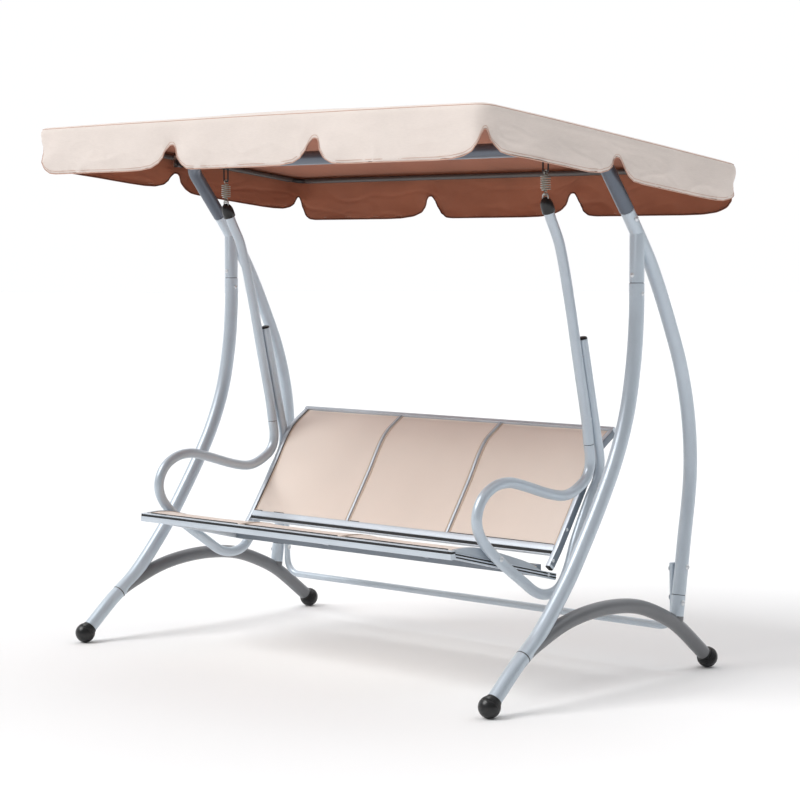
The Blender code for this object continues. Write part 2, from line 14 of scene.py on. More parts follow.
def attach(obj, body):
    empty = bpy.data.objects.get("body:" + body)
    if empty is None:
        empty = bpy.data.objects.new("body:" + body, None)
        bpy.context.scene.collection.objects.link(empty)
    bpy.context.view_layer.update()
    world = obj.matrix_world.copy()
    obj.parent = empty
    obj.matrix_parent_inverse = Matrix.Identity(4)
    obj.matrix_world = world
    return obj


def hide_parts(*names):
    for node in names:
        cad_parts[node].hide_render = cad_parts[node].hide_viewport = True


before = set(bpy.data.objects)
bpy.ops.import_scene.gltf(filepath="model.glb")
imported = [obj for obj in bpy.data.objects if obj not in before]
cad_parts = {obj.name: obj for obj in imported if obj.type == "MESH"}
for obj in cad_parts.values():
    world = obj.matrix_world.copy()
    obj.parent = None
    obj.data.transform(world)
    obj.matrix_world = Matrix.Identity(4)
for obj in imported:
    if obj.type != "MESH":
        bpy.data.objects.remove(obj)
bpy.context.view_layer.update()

LEG_X = 0.885
HANGER_X = 0.6953
RAIL_X = 0.6785
DIVIDER_X = 0.2207
LEG_RADIUS = 0.0222
REAR_RADIUS = 0.0212
BAR_RADIUS = 0.0225
HANGER_RADIUS = 0.016
BRACE_RADIUS = 0.012
BAR_Y = -0.012
BAR_Z = 1.597
FOOT_RADIUS = 0.0325
FOOT_Z = 0.032
JOINT_GAP = 0.0014

FRONT_FOOT = (-0.480, FOOT_Z)
REAR_FOOT = (0.560, FOOT_Z)
ARCH_LINE = [
    (-0.337, 0.151), (-0.250, 0.191), (-0.145, 0.226), (-0.030, 0.244), (0.090, 0.246),
    (0.200, 0.232), (0.300, 0.199), (0.400, 0.150),
]
STUB_LINE = [(0.393, 0.150), (0.4022, 0.2105), (0.4071, 0.2437)]
FRONT_LEG_LINE = [
    (-0.3338, 0.1530), (-0.274, 0.198), (-0.190, 0.284), (-0.100, 0.394), (0.059, 0.634),
    (0.134, 0.799), (0.170, 0.960), (0.183, 1.100), (0.184, 1.2010),
]
REAR_LEG_LINE = [
    (0.4074, 0.2452), (0.431, 0.405), (0.460, 0.600), (0.454, 0.755), (0.422, 0.900),
    (0.374, 1.024), (0.259, 1.245), (0.150, 1.395), (0.134, 1.415),
]
HANGER_LINE = [
    (-0.002, 1.4240), (0.012, 1.394), (0.056, 1.312), (0.106, 1.134), (0.147, 0.955),
    (0.1880, 0.780), (0.1992, 0.7095),
]
LOOP_LINE = [
    (0.1995, 0.7080), (0.2063, 0.664), (0.200, 0.626), (0.173, 0.594), (0.100, 0.564),
    (0.025, 0.570), (-0.106, 0.606), (-0.175, 0.621), (-0.240, 0.614), (-0.295, 0.580),
    (-0.318, 0.525), (-0.300, 0.470), (-0.232, 0.406), (-0.104, 0.318), (-0.045, 0.282),
    (0.010, 0.272), (0.062, 0.287), (0.103, 0.340), (0.137, 0.421), (0.205, 0.541), (0.245, 0.602),
    (0.253, 0.660), (0.236, 0.735), (0.2155, 0.821), (0.180, 0.970), (0.1655, 1.031),
]
SEAT_FRONT = (-0.400, 0.4275)
SEAT_REAR = (0.065, 0.3165)
BACK_LINE = [(0.078, 0.399), (0.184, 0.559), (0.262, 0.680), (0.343, 0.7392)]

CANOPY_HALF_WIDTH = 0.9715
CANOPY_HALF_DEPTH = 0.600
CANOPY_EDGE_Z = 1.629
CANOPY_SLOPE = 0.113
CANOPY_CROWN = 0.0775
END_DROP = 0.153
SIDE_DROP = 0.128


# ---------------------------------------------------------------- materials


class Shader:
    """A Principled material with a small node vocabulary."""

    def __init__(self, name, roughness=0.5, metallic=0.0, **constants):
        self.material = bpy.data.materials.new(name)
        self.material.use_nodes = True
        self.tree = self.material.node_tree
        self.shader = self.tree.nodes["Principled BSDF"]
        self.place = self.node("ShaderNodeTexCoord").outputs["Object"]
        self.shader.inputs["Roughness"].default_value = roughness
        self.shader.inputs["Metallic"].default_value = metallic
        for socket, value in constants.items():
            self.shader.inputs[socket.replace("_", " ")].default_value = value

    def node(self, kind, **settings):
        made = self.tree.nodes.new(kind)
        for key, value in settings.items():
            setattr(made, key, value)
        return made

    def link(self, output, target):
        self.tree.links.new(output, target)

    def noise(self, scale, detail=3.0, stretch=None):
        made = self.node("ShaderNodeTexNoise")
        made.inputs["Scale"].default_value = scale
        made.inputs["Detail"].default_value = detail
        place = self.place
        if stretch:
            mapping = self.node("ShaderNodeMapping")
            mapping.inputs["Scale"].default_value = stretch
            self.link(place, mapping.inputs["Vector"])
            place = mapping.outputs["Vector"]
        self.link(place, made.inputs["Vector"])
        return made.outputs["Fac"]

    def wave(self, direction, scale):
        """Bands across the cloth's own flat coordinates, which are in metres."""
        flat = self.node("ShaderNodeTexCoord").outputs["UV"]
        made = self.node("ShaderNodeTexWave", bands_direction=direction)
        made.inputs["Scale"].default_value = scale
        self.link(flat, made.inputs["Vector"])
        return made.outputs["Fac"]

    def math(self, operation, first, second):
        made = self.node("ShaderNodeMath", operation=operation)
        for socket, value in zip(made.inputs, (first, second)):
            if isinstance(value, (int, float)):
                socket.default_value = value
            else:
                self.link(value, socket)
        return made.outputs[0]

    def ramp(self, value, stops):
        made = self.node("ShaderNodeValToRGB")
        elements = made.color_ramp.elements
        while len(elements) < len(stops):
            elements.new(0.5)
        for element, (position, colour) in zip(elements, stops):
            element.position = position
            element.color = (*colour, 1.0)
        self.link(value, made.inputs["Fac"])
        return made.outputs["Color"]

    def mix(self, share, first, second, blend="MIX"):
        made = self.node("ShaderNodeMix", data_type="RGBA", blend_type=blend)
        for socket, value in ((made.inputs[0], share), (made.inputs[6], first), (made.inputs[7], second)):
            if isinstance(value, (int, float)):
                socket.default_value = value
            elif isinstance(value, tuple):
                socket.default_value = (*value, 1.0)
            else:
                self.link(value, socket)
        return made.outputs[2]

    def colour(self, value):
        self.link(value, self.shader.inputs["Base Color"])

    def rough(self, value, low, high):
        made = self.node("ShaderNodeMapRange")
        made.inputs["To Min"].default_value = low
        made.inputs["To Max"].default_value = high
        self.link(value, made.inputs["Value"])
        self.link(made.outputs["Result"], self.shader.inputs["Roughness"])

    def bump(self, value, strength, distance):
        made = self.node("ShaderNodeBump")
        made.inputs["Strength"].default_value = strength
        made.inputs["Distance"].default_value = distance
        self.link(value, made.inputs["Height"])
        self.link(made.outputs["Normal"], self.shader.inputs["Normal"])


def linear(red, green, blue):
    """A colour given as 0 to 255 on a screen, in the linear values that a shader takes."""
    found = []
    for value in (red, green, blue):
        share = value / 255
        found.append(share / 12.92 if share <= 0.04045 else ((share + 0.055) / 1.055) ** 2.4)
    return tuple(found)


def darker(colour, share):
    return tuple(value * share for value in colour)


def powder_coat(name, colour, metallic, roughness):
    """Silver-grey powder coat: fine metallic flake, orange-peel bump and a little handling dirt."""
    made = Shader(name, roughness, metallic, Coat_Weight=0.25, Coat_Roughness=0.22)
    flake = made.noise(900.0, 1.0)
    broad = made.noise(5.0, 4.0)
    base = made.ramp(broad, [(0.3, darker(colour, 0.90)), (0.7, darker(colour, 1.06))])
    speck = made.ramp(flake, [(0.35, darker(colour, 0.80)), (0.65, darker(colour, 1.15))])
    made.colour(made.mix(0.30, base, speck))
    made.rough(made.noise(40.0, 3.0), roughness - 0.06, roughness + 0.08)
    made.bump(made.noise(420.0, 2.0), 0.10, 0.0004)
    return made.material


def woven(name, colour, thread, contrast, roughness, sheen, broad_scale=7.0):
    """Plain-woven cloth with threads every `thread` metres and a soft colour drift."""
    made = Shader(name, roughness, Sheen_Weight=sheen, Sheen_Roughness=0.5, Specular_IOR_Level=0.25)
    scale = 1 / thread / 6.2832 * 2
    across = made.wave("X", scale)
    along = made.wave("Y", scale)
    weave = made.math("MULTIPLY", made.math("ADD", across, 0.35), made.math("ADD", along, 0.35))
    drift = made.noise(broad_scale, 5.0)
    slub = made.noise(60.0, 3.0, (1.0, 1.0, 6.0))
    tones = [(0.30, darker(colour, 1 - contrast)), (0.70, darker(colour, 1 + contrast * 0.35))]
    base = made.ramp(drift, tones)
    cloth = made.mix(0.16, base, made.ramp(slub, [(0.35, darker(colour, 0.82)), (0.65, colour)]))
    threads = made.ramp(weave, [(0.0, (0.90, 0.90, 0.90)), (0.9, (1.0, 1.0, 1.0))])
    made.colour(made.mix(1.0, cloth, threads, "MULTIPLY"))
    made.rough(drift, roughness - 0.06, roughness + 0.06)
    made.bump(made.math("ADD", weave, made.math("MULTIPLY", slub, 0.6)), 0.25, 0.0006)
    return made.material


def mesh_cloth(name, colour):
    """The sling's open coated mesh: a fine square grid of round yarns with tiny dark gaps."""
    made = Shader(name, 0.55, Specular_IOR_Level=0.4, Sheen_Weight=0.15)
    across = made.wave("X", 150.0)
    along = made.wave("Y", 120.0)
    grid = made.math("MULTIPLY", made.math("ADD", across, 0.25), made.math("ADD", along, 0.25))
    drift = made.noise(4.0, 4.0)
    base = made.ramp(drift, [(0.3, darker(colour, 0.95)), (0.7, darker(colour, 1.03))])
    holes = made.ramp(grid, [(0.05, darker(colour, 0.72)), (0.35, colour)])
    made.colour(made.mix(0.45, base, holes))
    made.rough(grid, 0.62, 0.48)
    made.bump(grid, 0.3, 0.0005)
    return made.material


def moulded(name, colour, roughness):
    """Moulded black plastic with a fine texture and scuffed patches."""
    made = Shader(name, roughness, Specular_IOR_Level=0.5)
    patch = made.noise(25.0, 5.0)
    made.colour(made.ramp(patch, [(0.35, colour), (0.75, tuple(v + 0.012 for v in colour))]))
    made.rough(made.noise(70.0, 4.0), roughness - 0.1, roughness + 0.15)
    made.bump(made.noise(700.0, 2.0), 0.15, 0.0003)
    return made.material


def galvanised(name, colour, roughness):
    """Zinc-plated steel with faint spangle and drawing marks."""
    made = Shader(name, roughness, 1.0, Anisotropic=0.2)
    spangle = made.node("ShaderNodeTexVoronoi")
    spangle.inputs["Scale"].default_value = 220.0
    made.link(made.place, spangle.inputs["Vector"])
    tone = made.ramp(spangle.outputs["Distance"], [(0.1, darker(colour, 0.82)), (0.7, colour)])
    cloudy = made.ramp(made.noise(14.0), [(0.3, darker(colour, 0.8)), (0.7, colour)])
    made.colour(made.mix(0.25, tone, cloudy))
    made.rough(made.noise(90.0, 3.0), roughness - 0.08, roughness + 0.12)
    made.bump(made.noise(500.0, 2.0), 0.12, 0.0003)
    return made.material


PAINT = powder_coat("powder_coat_silver", linear(196, 207, 217), 0.35, 0.38)
ARCH_PAINT = powder_coat("powder_coat_arch", linear(118, 120, 123), 0.35, 0.42)
# The crossbar's darker paint is painted shade: it is darkened for the shadow the canopy casts on it.
BAR_PAINTED_SHADE = powder_coat("powder_coat_bar_painted_shade", linear(98, 106, 118), 0.45, 0.36)
RAIL_PAINT = powder_coat("powder_coat_rail", linear(206, 215, 224), 0.35, 0.38)
# Painted shade: a darker blue-grey copy of the rail paint, for the seat's rear rail and the back rails' outer
# faces, which sit in shadow.
PAINTED_SHADE_PAINT = powder_coat("powder_coat_painted_shade", linear(122, 132, 143), 0.35, 0.42)
PLATE_PAINT = powder_coat("powder_coat_plate", linear(182, 191, 200), 0.25, 0.42)
FRAME_PAINT = powder_coat("powder_coat_frame", linear(84, 80, 78), 0.30, 0.45)
BLACK = moulded("black_plastic", linear(14, 15, 17), 0.30)
SHADOW = moulded("joint_shadow", linear(30, 32, 35), 0.7)
STEEL = galvanised("zinc_steel", linear(205, 206, 205), 0.30)
BOLT = powder_coat("bolt_zinc", linear(226, 230, 234), 0.45, 0.28)
SPRING_STEEL = galvanised("spring_steel", linear(176, 180, 172), 0.34)
SLING = mesh_cloth("sling_mesh", linear(254, 240, 228))
COVER = woven("canopy_cloth", linear(238, 226, 218), 0.0016, 0.06, 0.80, 0.20, 6.0)
LINING = woven("canopy_lining", linear(166, 104, 78), 0.0016, 0.16, 0.78, 0.12, 5.0)
PIPING = woven("canopy_piping", linear(212, 172, 154), 0.0010, 0.08, 0.75, 0.2)
INNER_HEM = woven("canopy_inner_hem", linear(104, 62, 46), 0.0010, 0.08, 0.75, 0.1)
HEM = woven("sling_hem", linear(226, 206, 188), 0.0012, 0.06, 0.7, 0.15)


# ---------------------------------------------------------------- shape tools


def finish_piece(obj, body, slot, look, *replaced):
    """Gives a piece its material, its body and the CAD nodes it stands for."""
    if not obj.data.materials:
        obj.data.materials.append(look)
    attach(obj, body)
    if replaced:
        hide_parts(*replaced)
    return obj


def object_from(form, name, smooth=35):
    """An object from a bmesh, shaded smooth except across sharp edges."""
    bmesh.ops.recalc_face_normals(form, faces=form.faces)
    mesh = bpy.data.meshes.new(name)
    form.to_mesh(mesh)
    form.free()
    mesh.shade_smooth()
    mesh.set_sharp_from_angle(angle=math.radians(smooth))
    made = bpy.data.objects.new(name, mesh)
    bpy.context.scene.collection.objects.link(made)
    return made


def in_plane(x, outline):
    return [Vector((x, y, z)) for y, z in outline]


def smooth_route(knots, steps):
    """Points along a smooth curve through the knots, with a short straight lead at each end."""
    padded = [2 * knots[0] - knots[1], *knots, 2 * knots[-1] - knots[-2]]
    headings = [(after - before).normalized() for before, after in zip(padded, padded[2:])]
    route = []
    for index, (start, end) in enumerate(zip(knots, knots[1:])):
        reach = (end - start).length / 3
        route += interpolate_bezier(
            start, start + headings[index] * reach, end - headings[index + 1] * reach, end, steps + 1
        )[:-1]
    return [knots[0], knots[0] + headings[0] * 0.001, *route[1:], knots[-1] - headings[-1] * 0.001, knots[-1]]


def bent_route(corners, radius, steps):
    """Straight runs between the corners, with an arc of the radius at each inner corner."""
    route = [corners[0]]
    for before, corner, after in zip(corners, corners[1:], corners[2:]):
        arrive = (corner - before).normalized()
        leave = (after - corner).normalized()
        turn = arrive.angle(leave)
        cut = radius * math.tan(turn / 2)
        centre = corner - arrive * cut + (leave - arrive * arrive.dot(leave)).normalized() * radius
        first = corner - arrive * cut - centre
        axis = arrive.cross(leave).normalized()
        for step in range(steps + 1):
            route.append(centre + Matrix.Rotation(turn * step / steps, 3, axis) @ first)
    return [*route, corners[-1]]


def circle(radius, sides):
    return [
        (radius * math.cos(math.tau * step / sides), radius * math.sin(math.tau * step / sides))
        for step in range(sides)
    ]


def sweep(form, route, outline, side, scales=None):
    """Adds a closed outline swept along a route.  `side` is where the outline's first axis points."""
    rings = []
    lateral = Vector(side)
    for index, point in enumerate(route):
        before = route[max(index - 1, 0)]
        after = route[min(index + 1, len(route) - 1)]
        heading = (after - before).normalized()
        lateral = (lateral - heading * lateral.dot(heading)).normalized()
        upward = heading.cross(lateral)
        scale = scales[index] if scales else 1.0
        rings.append([form.verts.new(point + lateral * u * scale + upward * v * scale) for u, v in outline])
    count = len(outline)
    for ring, following in zip(rings, rings[1:]):
        for index in range(count):
            after = (index + 1) % count
            form.faces.new([ring[index], ring[after], following[after], following[index]])
    form.faces.new(list(reversed(rings[0])))
    form.faces.new(rings[-1])
    return rings


def softened(route, radius, edge=0.0012):
    """A route and ring scales that round the rim of a tube's two ends."""
    first = (route[1] - route[0]).normalized()
    last = (route[-1] - route[-2]).normalized()
    ends = [route[0] + first * edge, route[-1] - last * edge]
    inner = [
        point for point in route[1:-1]
        if (point - route[0]).length > 2 * edge and (point - route[-1]).length > 2 * edge
    ]
    path = [route[0], ends[0], *inner, ends[1], route[-1]]
    scales = [1.0] * len(path)
    scales[0] = scales[-1] = 1 - edge / radius
    return path, scales


def round_tube(name, route, radius, sides=28, side=(1, 0, 0), smooth=35):
    form = bmesh.new()
    path, scales = softened(route, radius)
    sweep(form, path, circle(radius, sides), side, scales)
    return object_from(form, name, smooth)


def combined(target, other, operation):
    """Applies a Boolean with the other object to the target, and removes the other."""
    modifier = target.modifiers.new("combine", "BOOLEAN")
    modifier.operation = operation
    modifier.object = other
    graph = bpy.context.evaluated_depsgraph_get()
    mesh = bpy.data.meshes.new_from_object(target.evaluated_get(graph))
    target.modifiers.clear()
    target.data = mesh
    bpy.data.objects.remove(other)


def smoothed(target, sharp=35):
    target.data.shade_smooth()
    target.data.set_sharp_from_angle(angle=math.radians(sharp))


def turned(name, profile, sides, place, axis, smooth=35):
    """A solid of revolution whose axis points along `axis` from `place`."""
    form = bmesh.new()
    points = [form.verts.new((radius, 0, height)) for radius, height in profile]
    edges = [form.edges.new(pair) for pair in zip(points, points[1:])]
    bmesh.ops.spin(
        form, geom=[*points, *edges], axis=(0, 0, 1), cent=(0, 0, 0), angle=math.tau, steps=sides
    )
    bmesh.ops.remove_doubles(form, verts=form.verts, dist=0.000005)
    turn = Vector((0, 0, 1)).rotation_difference(Vector(axis)).to_matrix().to_4x4()
    bmesh.ops.transform(form, matrix=Matrix.Translation(place) @ turn, verts=form.verts)
    return object_from(form, name, smooth)


def side_name(side):
    return "right" if side > 0 else "left"


def heading_at(line, index):
    ends = (Vector(line[index]), Vector(line[index + 1]))
    way = (ends[1] - ends[0]).normalized()
    return Vector((0, way.x, way.y))


def joint_shadow(name, x, point, way, radius, body):
    """The dark line in the gap of a slip joint."""
    centre = Vector((x, *point))
    route = [centre - way * 0.004, centre + way * 0.004]
    ring = round_tube(name, route, radius - 0.0012, 24)
    return finish_piece(ring, body, "black_plastic", SHADOW)


def bolt_head(name, place, axis, body, radius=0.0066, replaced=()):
    """A round-headed bolt on a thin washer, with a cross recess."""
    place = Vector(place)
    axis = Vector(axis).normalized()
    dome = [(0, 0.0050), (0.0022, 0.0048), (0.0042, 0.0040), (0.0058, 0.0026), (0.0064, 0.0012)]
    profile = [*dome, (0.0064, 0.0010), (0.0088, 0.0009), (0.0090, 0.0003), (0.0086, 0), (0, 0)]
    grown = radius / 0.0066
    profile = [(r * grown, h * grown) for r, h in profile]
    made = turned(name, profile, 20, place, axis)
    across = axis.orthogonal().normalized()
    for turn in (0.4, 0.4 + math.pi / 2):
        way = Matrix.Rotation(turn, 3, axis) @ across
        form = bmesh.new()
        top = place + axis * 0.0045 * grown
        route = [top - way * 0.0026 * grown, top + way * 0.0026 * grown]
        half = 0.0005 * grown
        deep = 0.0016 * grown
        sweep(form, route, [(-deep, -half), (deep, -half), (deep, half), (-deep, half)], axis)
        combined(made, object_from(form, name + "_slot"), "DIFFERENCE")
    smoothed(made)
    return finish_piece(made, body, "steel", BOLT, *replaced)


# ---------------------------------------------------------------- stand


def foot(name, x, centre, towards, node):
    """A ball foot: a collar, moulded rings on the tube's side and a smooth lower half."""
    way = Vector((0, *towards)).normalized()
    profile = [(0.0220, 0.0262), (0.0238, 0.0258), (0.0242, 0.0238)]
    for step in range(90, -1, -1):
        angle = math.radians(-90 + step * 1.5)
        radius = FOOT_RADIUS * math.cos(angle)
        height = FOOT_RADIUS * math.sin(angle)
        if height > 0.0220:
            continue
        groove = 0.0
        for level in (0.0040, 0.0095, 0.0150, 0.0200):
            groove = max(groove, 0.0022 * math.exp(-((height - level) / 0.0014) ** 2))
        scale = 1 - groove / FOOT_RADIUS
        profile.append((max(radius * scale, 0.0), height * scale))
    profile[-1] = (0, profile[-1][1])
    profile.insert(0, (0, 0.0262))
    made = turned(name, profile, 48, Vector((x, *centre)), way, 50)
    for vertex in made.data.vertices:
        vertex.co.z = max(vertex.co.z, 0.0)
    return finish_piece(made, "stand", "black_plastic", BLACK, node)


def stand_side(side):
    x = side * LEG_X
    word = side_name(side)
    front = Vector(FRONT_FOOT)
    rear = Vector(REAR_FOOT)
    front_way = (Vector(ARCH_LINE[0]) - front).normalized()
    rear_way = (Vector(ARCH_LINE[-1]) - rear).normalized()
    line = [front + front_way * 0.022, *ARCH_LINE, rear + rear_way * 0.022]
    arch = round_tube("look_arch_" + word, smooth_route(in_plane(x, line), 8), LEG_RADIUS, 32)
    stub = round_tube("stub", smooth_route(in_plane(x, STUB_LINE), 4), REAR_RADIUS, 32)
    combined(arch, stub, "UNION")
    smoothed(arch)
    arch.data.materials.append(ARCH_PAINT)
    arch.data.materials.append(PAINT)
    paint_sockets(arch.data)
    finish_piece(arch, "stand", "paint", ARCH_PAINT, "base_arch_" + word)
    foot("look_foot_front_" + word, x, FRONT_FOOT, front_way, "foot_front_" + word)
    foot("look_foot_rear_" + word, x, REAR_FOOT, rear_way, "foot_rear_" + word)

    leg = round_tube("look_front_leg_" + word, smooth_route(in_plane(x, FRONT_LEG_LINE), 8), 0.0228, 32)
    finish_piece(leg, "stand", "paint", PAINT, "front_leg_" + word)
    rear_leg = round_tube(
        "look_rear_leg_" + word, smooth_route(in_plane(x, REAR_LEG_LINE), 8), REAR_RADIUS, 32
    )
    sleeve = round_tube("sleeve", in_plane(x, [(0.184, 1.2024), (0.184, 1.347)]), LEG_RADIUS, 32)
    combined(rear_leg, sleeve, "UNION")
    smoothed(rear_leg)
    finish_piece(rear_leg, "stand", "paint", PAINT, "rear_leg_" + word)

    way = heading_at(FRONT_LEG_LINE, 0)
    rim = Vector((x, *FRONT_LEG_LINE[0]))
    ring = round_tube("look_joint_front_" + word, [rim - way * 0.0016, rim + way * 0.0002], 0.02305, 32)
    finish_piece(ring, "stand", "black_plastic", SHADOW)
    joints = (
        ("rear", REAR_LEG_LINE[0], heading_at(REAR_LEG_LINE, 0), REAR_RADIUS),
        ("sleeve", FRONT_LEG_LINE[-1], Vector((0, 0, 1)), LEG_RADIUS),
        ("bar", REAR_LEG_LINE[-1], heading_at(REAR_LEG_LINE, -2), REAR_RADIUS),
    )
    for purpose, point, way, radius in joints:
        joint_shadow("look_joint_" + purpose + "_" + word, x, point, way, radius, "stand")
    out = (side, 0, 0)
    reach = side * (LEG_X + REAR_RADIUS - 0.0003)
    bolt_head("look_leg_bolt_" + word, (reach, 0.153, 1.391), out, "stand", 0.0070, ["leg_bolt_" + word])
    for number, way in enumerate((-1, 1)):
        head = (x + way * (LEG_RADIUS + 0.0002), 0.184, 1.170)
        bolt_head("look_bolt_through_" + word + str(number), head, (way, 0, 0), "stand", 0.0050)
    spots = {"rear_upper": (0.4225, 0.330), "rear_lower": (0.4000, 0.222)}
    for purpose, spot in spots.items():
        bolt_head("look_bolt_" + purpose + "_" + word, (reach, *spot), out, "stand")
    bolt_head(
        "look_bolt_sleeve_" + word, (x, 0.184 - LEG_RADIUS + 0.0002, 1.225), (0, -1, 0), "stand", 0.0055
    )


def paint_sockets(mesh):
    """The leg ends of the arch are bright paint, and the arch between them is the darker grey."""
    joint = Vector((0, *FRONT_LEG_LINE[0]))
    way = heading_at(FRONT_LEG_LINE, 0)
    arch = smooth_route(in_plane(0, [*ARCH_LINE, REAR_FOOT]), 8)
    for face in mesh.polygons:
        place = Vector((0, face.center.y, face.center.z))
        front = (place - joint).dot(way) < 0 and place.y < -0.28
        stub = False
        if 0.34 < place.y < 0.432 and place.z > 0.15:
            off = min((point - place).length for point in arch)
            stub = off > LEG_RADIUS + 0.0012
        face.material_index = 1 if front or stub else 0


def crossbar():
    top = Vector(REAR_LEG_LINE[-1])
    way = (top - Vector(REAR_LEG_LINE[-2])).normalized()
    lower = top + way * JOINT_GAP
    corners = [
        Vector((-LEG_X, *lower)),
        Vector((-LEG_X, BAR_Y, BAR_Z)),
        Vector((LEG_X, BAR_Y, BAR_Z)),
        Vector((LEG_X, *lower)),
    ]
    bar = round_tube("look_crossbar", bent_route(corners, 0.060, 16), BAR_RADIUS, 32)
    # Painted shade: the crossbar takes the darker paint for the canopy's shadow over it.
    finish_piece(bar, "stand", "dark_paint", BAR_PAINTED_SHADE, "top_crossbar")
    for side in (-1, 1):
        word = side_name(side)
        pin = [Vector((side * share, BAR_Y, BAR_Z)) for share in (0.850, 0.9455)]
        made = round_tube("look_pivot_pin_" + word, pin, 0.0058, 20, (0, 1, 0))
        finish_piece(made, "stand", "steel", STEEL)


def brace(side, meet, radius):
    word = side_name(side)
    upright_x = side * 0.8535
    corners = [
        Vector((meet, 0.430, 0.139)),
        Vector((upright_x, 0.424, 0.139)),
        Vector((upright_x, 0.417, 0.340)),
    ]
    route = bent_route(corners, 0.052, 14)
    upper = [route[-2].lerp(route[-1], step / 16) for step in range(1, 16)]
    route = [*route[:-1], *upper, route[-1]]
    made = round_tube("look_brace_" + word, route, radius, 24, (0, 1, 0))
    for vertex in made.data.vertices:
        pressed = min(max((vertex.co.z - 0.165) / 0.050, 0), 1)
        pressed = pressed * pressed * (3 - 2 * pressed)
        vertex.co.x = upright_x + (vertex.co.x - upright_x) * (1 - 0.25 * pressed)
    finish_piece(made, "stand", "paint", PAINT, "lower_brace_" + word)
    inner = upright_x - side * 0.0095
    for purpose, y, z in (("upper", 0.4180, 0.322), ("lower", 0.4210, 0.232)):
        bolt_head("look_brace_bolt_" + purpose + "_" + word, (inner, y, z), (-side, 0, 0), "stand")


# ---------------------------------------------------------------- suspension and loops

EYE_Z = 1.529
SWING_Z = 1.464
LOOP_OFFSET = 0.0058
SPRING_LOOP = 0.007
SPRING_WIRE = 0.0015


def spring_route(x):
    upper = EYE_Z + LOOP_OFFSET - SPRING_LOOP
    lower = SWING_Z - LOOP_OFFSET + SPRING_LOOP
    top = upper - SPRING_LOOP - 0.001
    bottom = lower + SPRING_LOOP + 0.001
    route = []
    for step in range(25):
        angle = math.radians(-30 + 300 * step / 24)
        route.append((x, BAR_Y + SPRING_LOOP * math.cos(angle), upper + SPRING_LOOP * math.sin(angle)))
    turns = 7
    per_turn = 28
    for step in range(turns * per_turn + 1):
        angle = math.tau * step / per_turn
        share = step / (turns * per_turn)
        radius = 0.0142 * min(1.0, 0.45 + share * 6, 0.45 + (1 - share) * 6)
        z = top + (bottom - top) * share
        route.append((x + radius * math.sin(angle), BAR_Y + radius * math.cos(angle), z))
    for step in range(25):
        angle = math.radians(90 - 300 * step / 24)
        route.append((x, BAR_Y - SPRING_LOOP * math.cos(angle), lower + SPRING_LOOP * math.sin(angle)))
    return [Vector(point) for point in route]


def staple(name, x, ends_z, bar_z, radius, body, slot, look, *replaced):
    spots = ((-0.010, ends_z), (-0.010, bar_z), (0.010, bar_z), (0.010, ends_z))
    corners = [Vector((x + aside, BAR_Y, z)) for aside, z in spots]
    made = round_tube(name, bent_route(corners, 0.0045, 8), radius, 16, (0, 1, 0))
    return finish_piece(made, body, slot, look, *replaced)


def suspension(side):
    x = side * HANGER_X
    word = side_name(side)
    staple("look_eye_" + word, x, 1.578, EYE_Z, 0.0025, "stand", "black_steel", BLACK, "spring_eye_" + word)
    plate = turned(
        "look_eye_washer_" + word,
        [(0, 0.005), (0.012, 0.005), (0.0135, 0.004), (0.0135, 0.0005), (0, 0.0005)],
        28, Vector((x, BAR_Y, BAR_Z - BAR_RADIUS - 0.0045)), (0, 0, 1),
    )
    finish_piece(plate, "stand", "black_plastic", BLACK)
    form = bmesh.new()
    sweep(form, spring_route(x), circle(SPRING_WIRE, 10), (1, 0, 0))
    spring = object_from(form, "look_spring_" + word, 60)
    finish_piece(spring, "springs", "steel", SPRING_STEEL, "spring_" + word)

    way = -heading_at(HANGER_LINE, 0)
    base = Vector((x, *HANGER_LINE[0])) - way * 0.016
    profile = [(0, 0.049), (0.0065, 0.0480), (0.0120, 0.0440), (0.0160, 0.0380), (0.0188, 0.0300)]
    profile += [(0.0199, 0.0220), (0.0200, 0.0020), (0.0192, 0.0004), (0.0165, 0.0), (0, 0.0)]
    cap = turned("look_cap_" + word, profile, 40, base, way)
    finish_piece(cap, "bench", "black_plastic", BLACK, "hanger_cap_" + word)
    staple("look_cap_ring_" + word, x, 1.440, SWING_Z, 0.0025, "bench", "steel", STEEL)
    hanger = round_tube("look_hanger_" + word, smooth_route(in_plane(x, HANGER_LINE), 8), HANGER_RADIUS, 28)
    finish_piece(hanger, "bench", "paint", PAINT, "hanger_" + word)


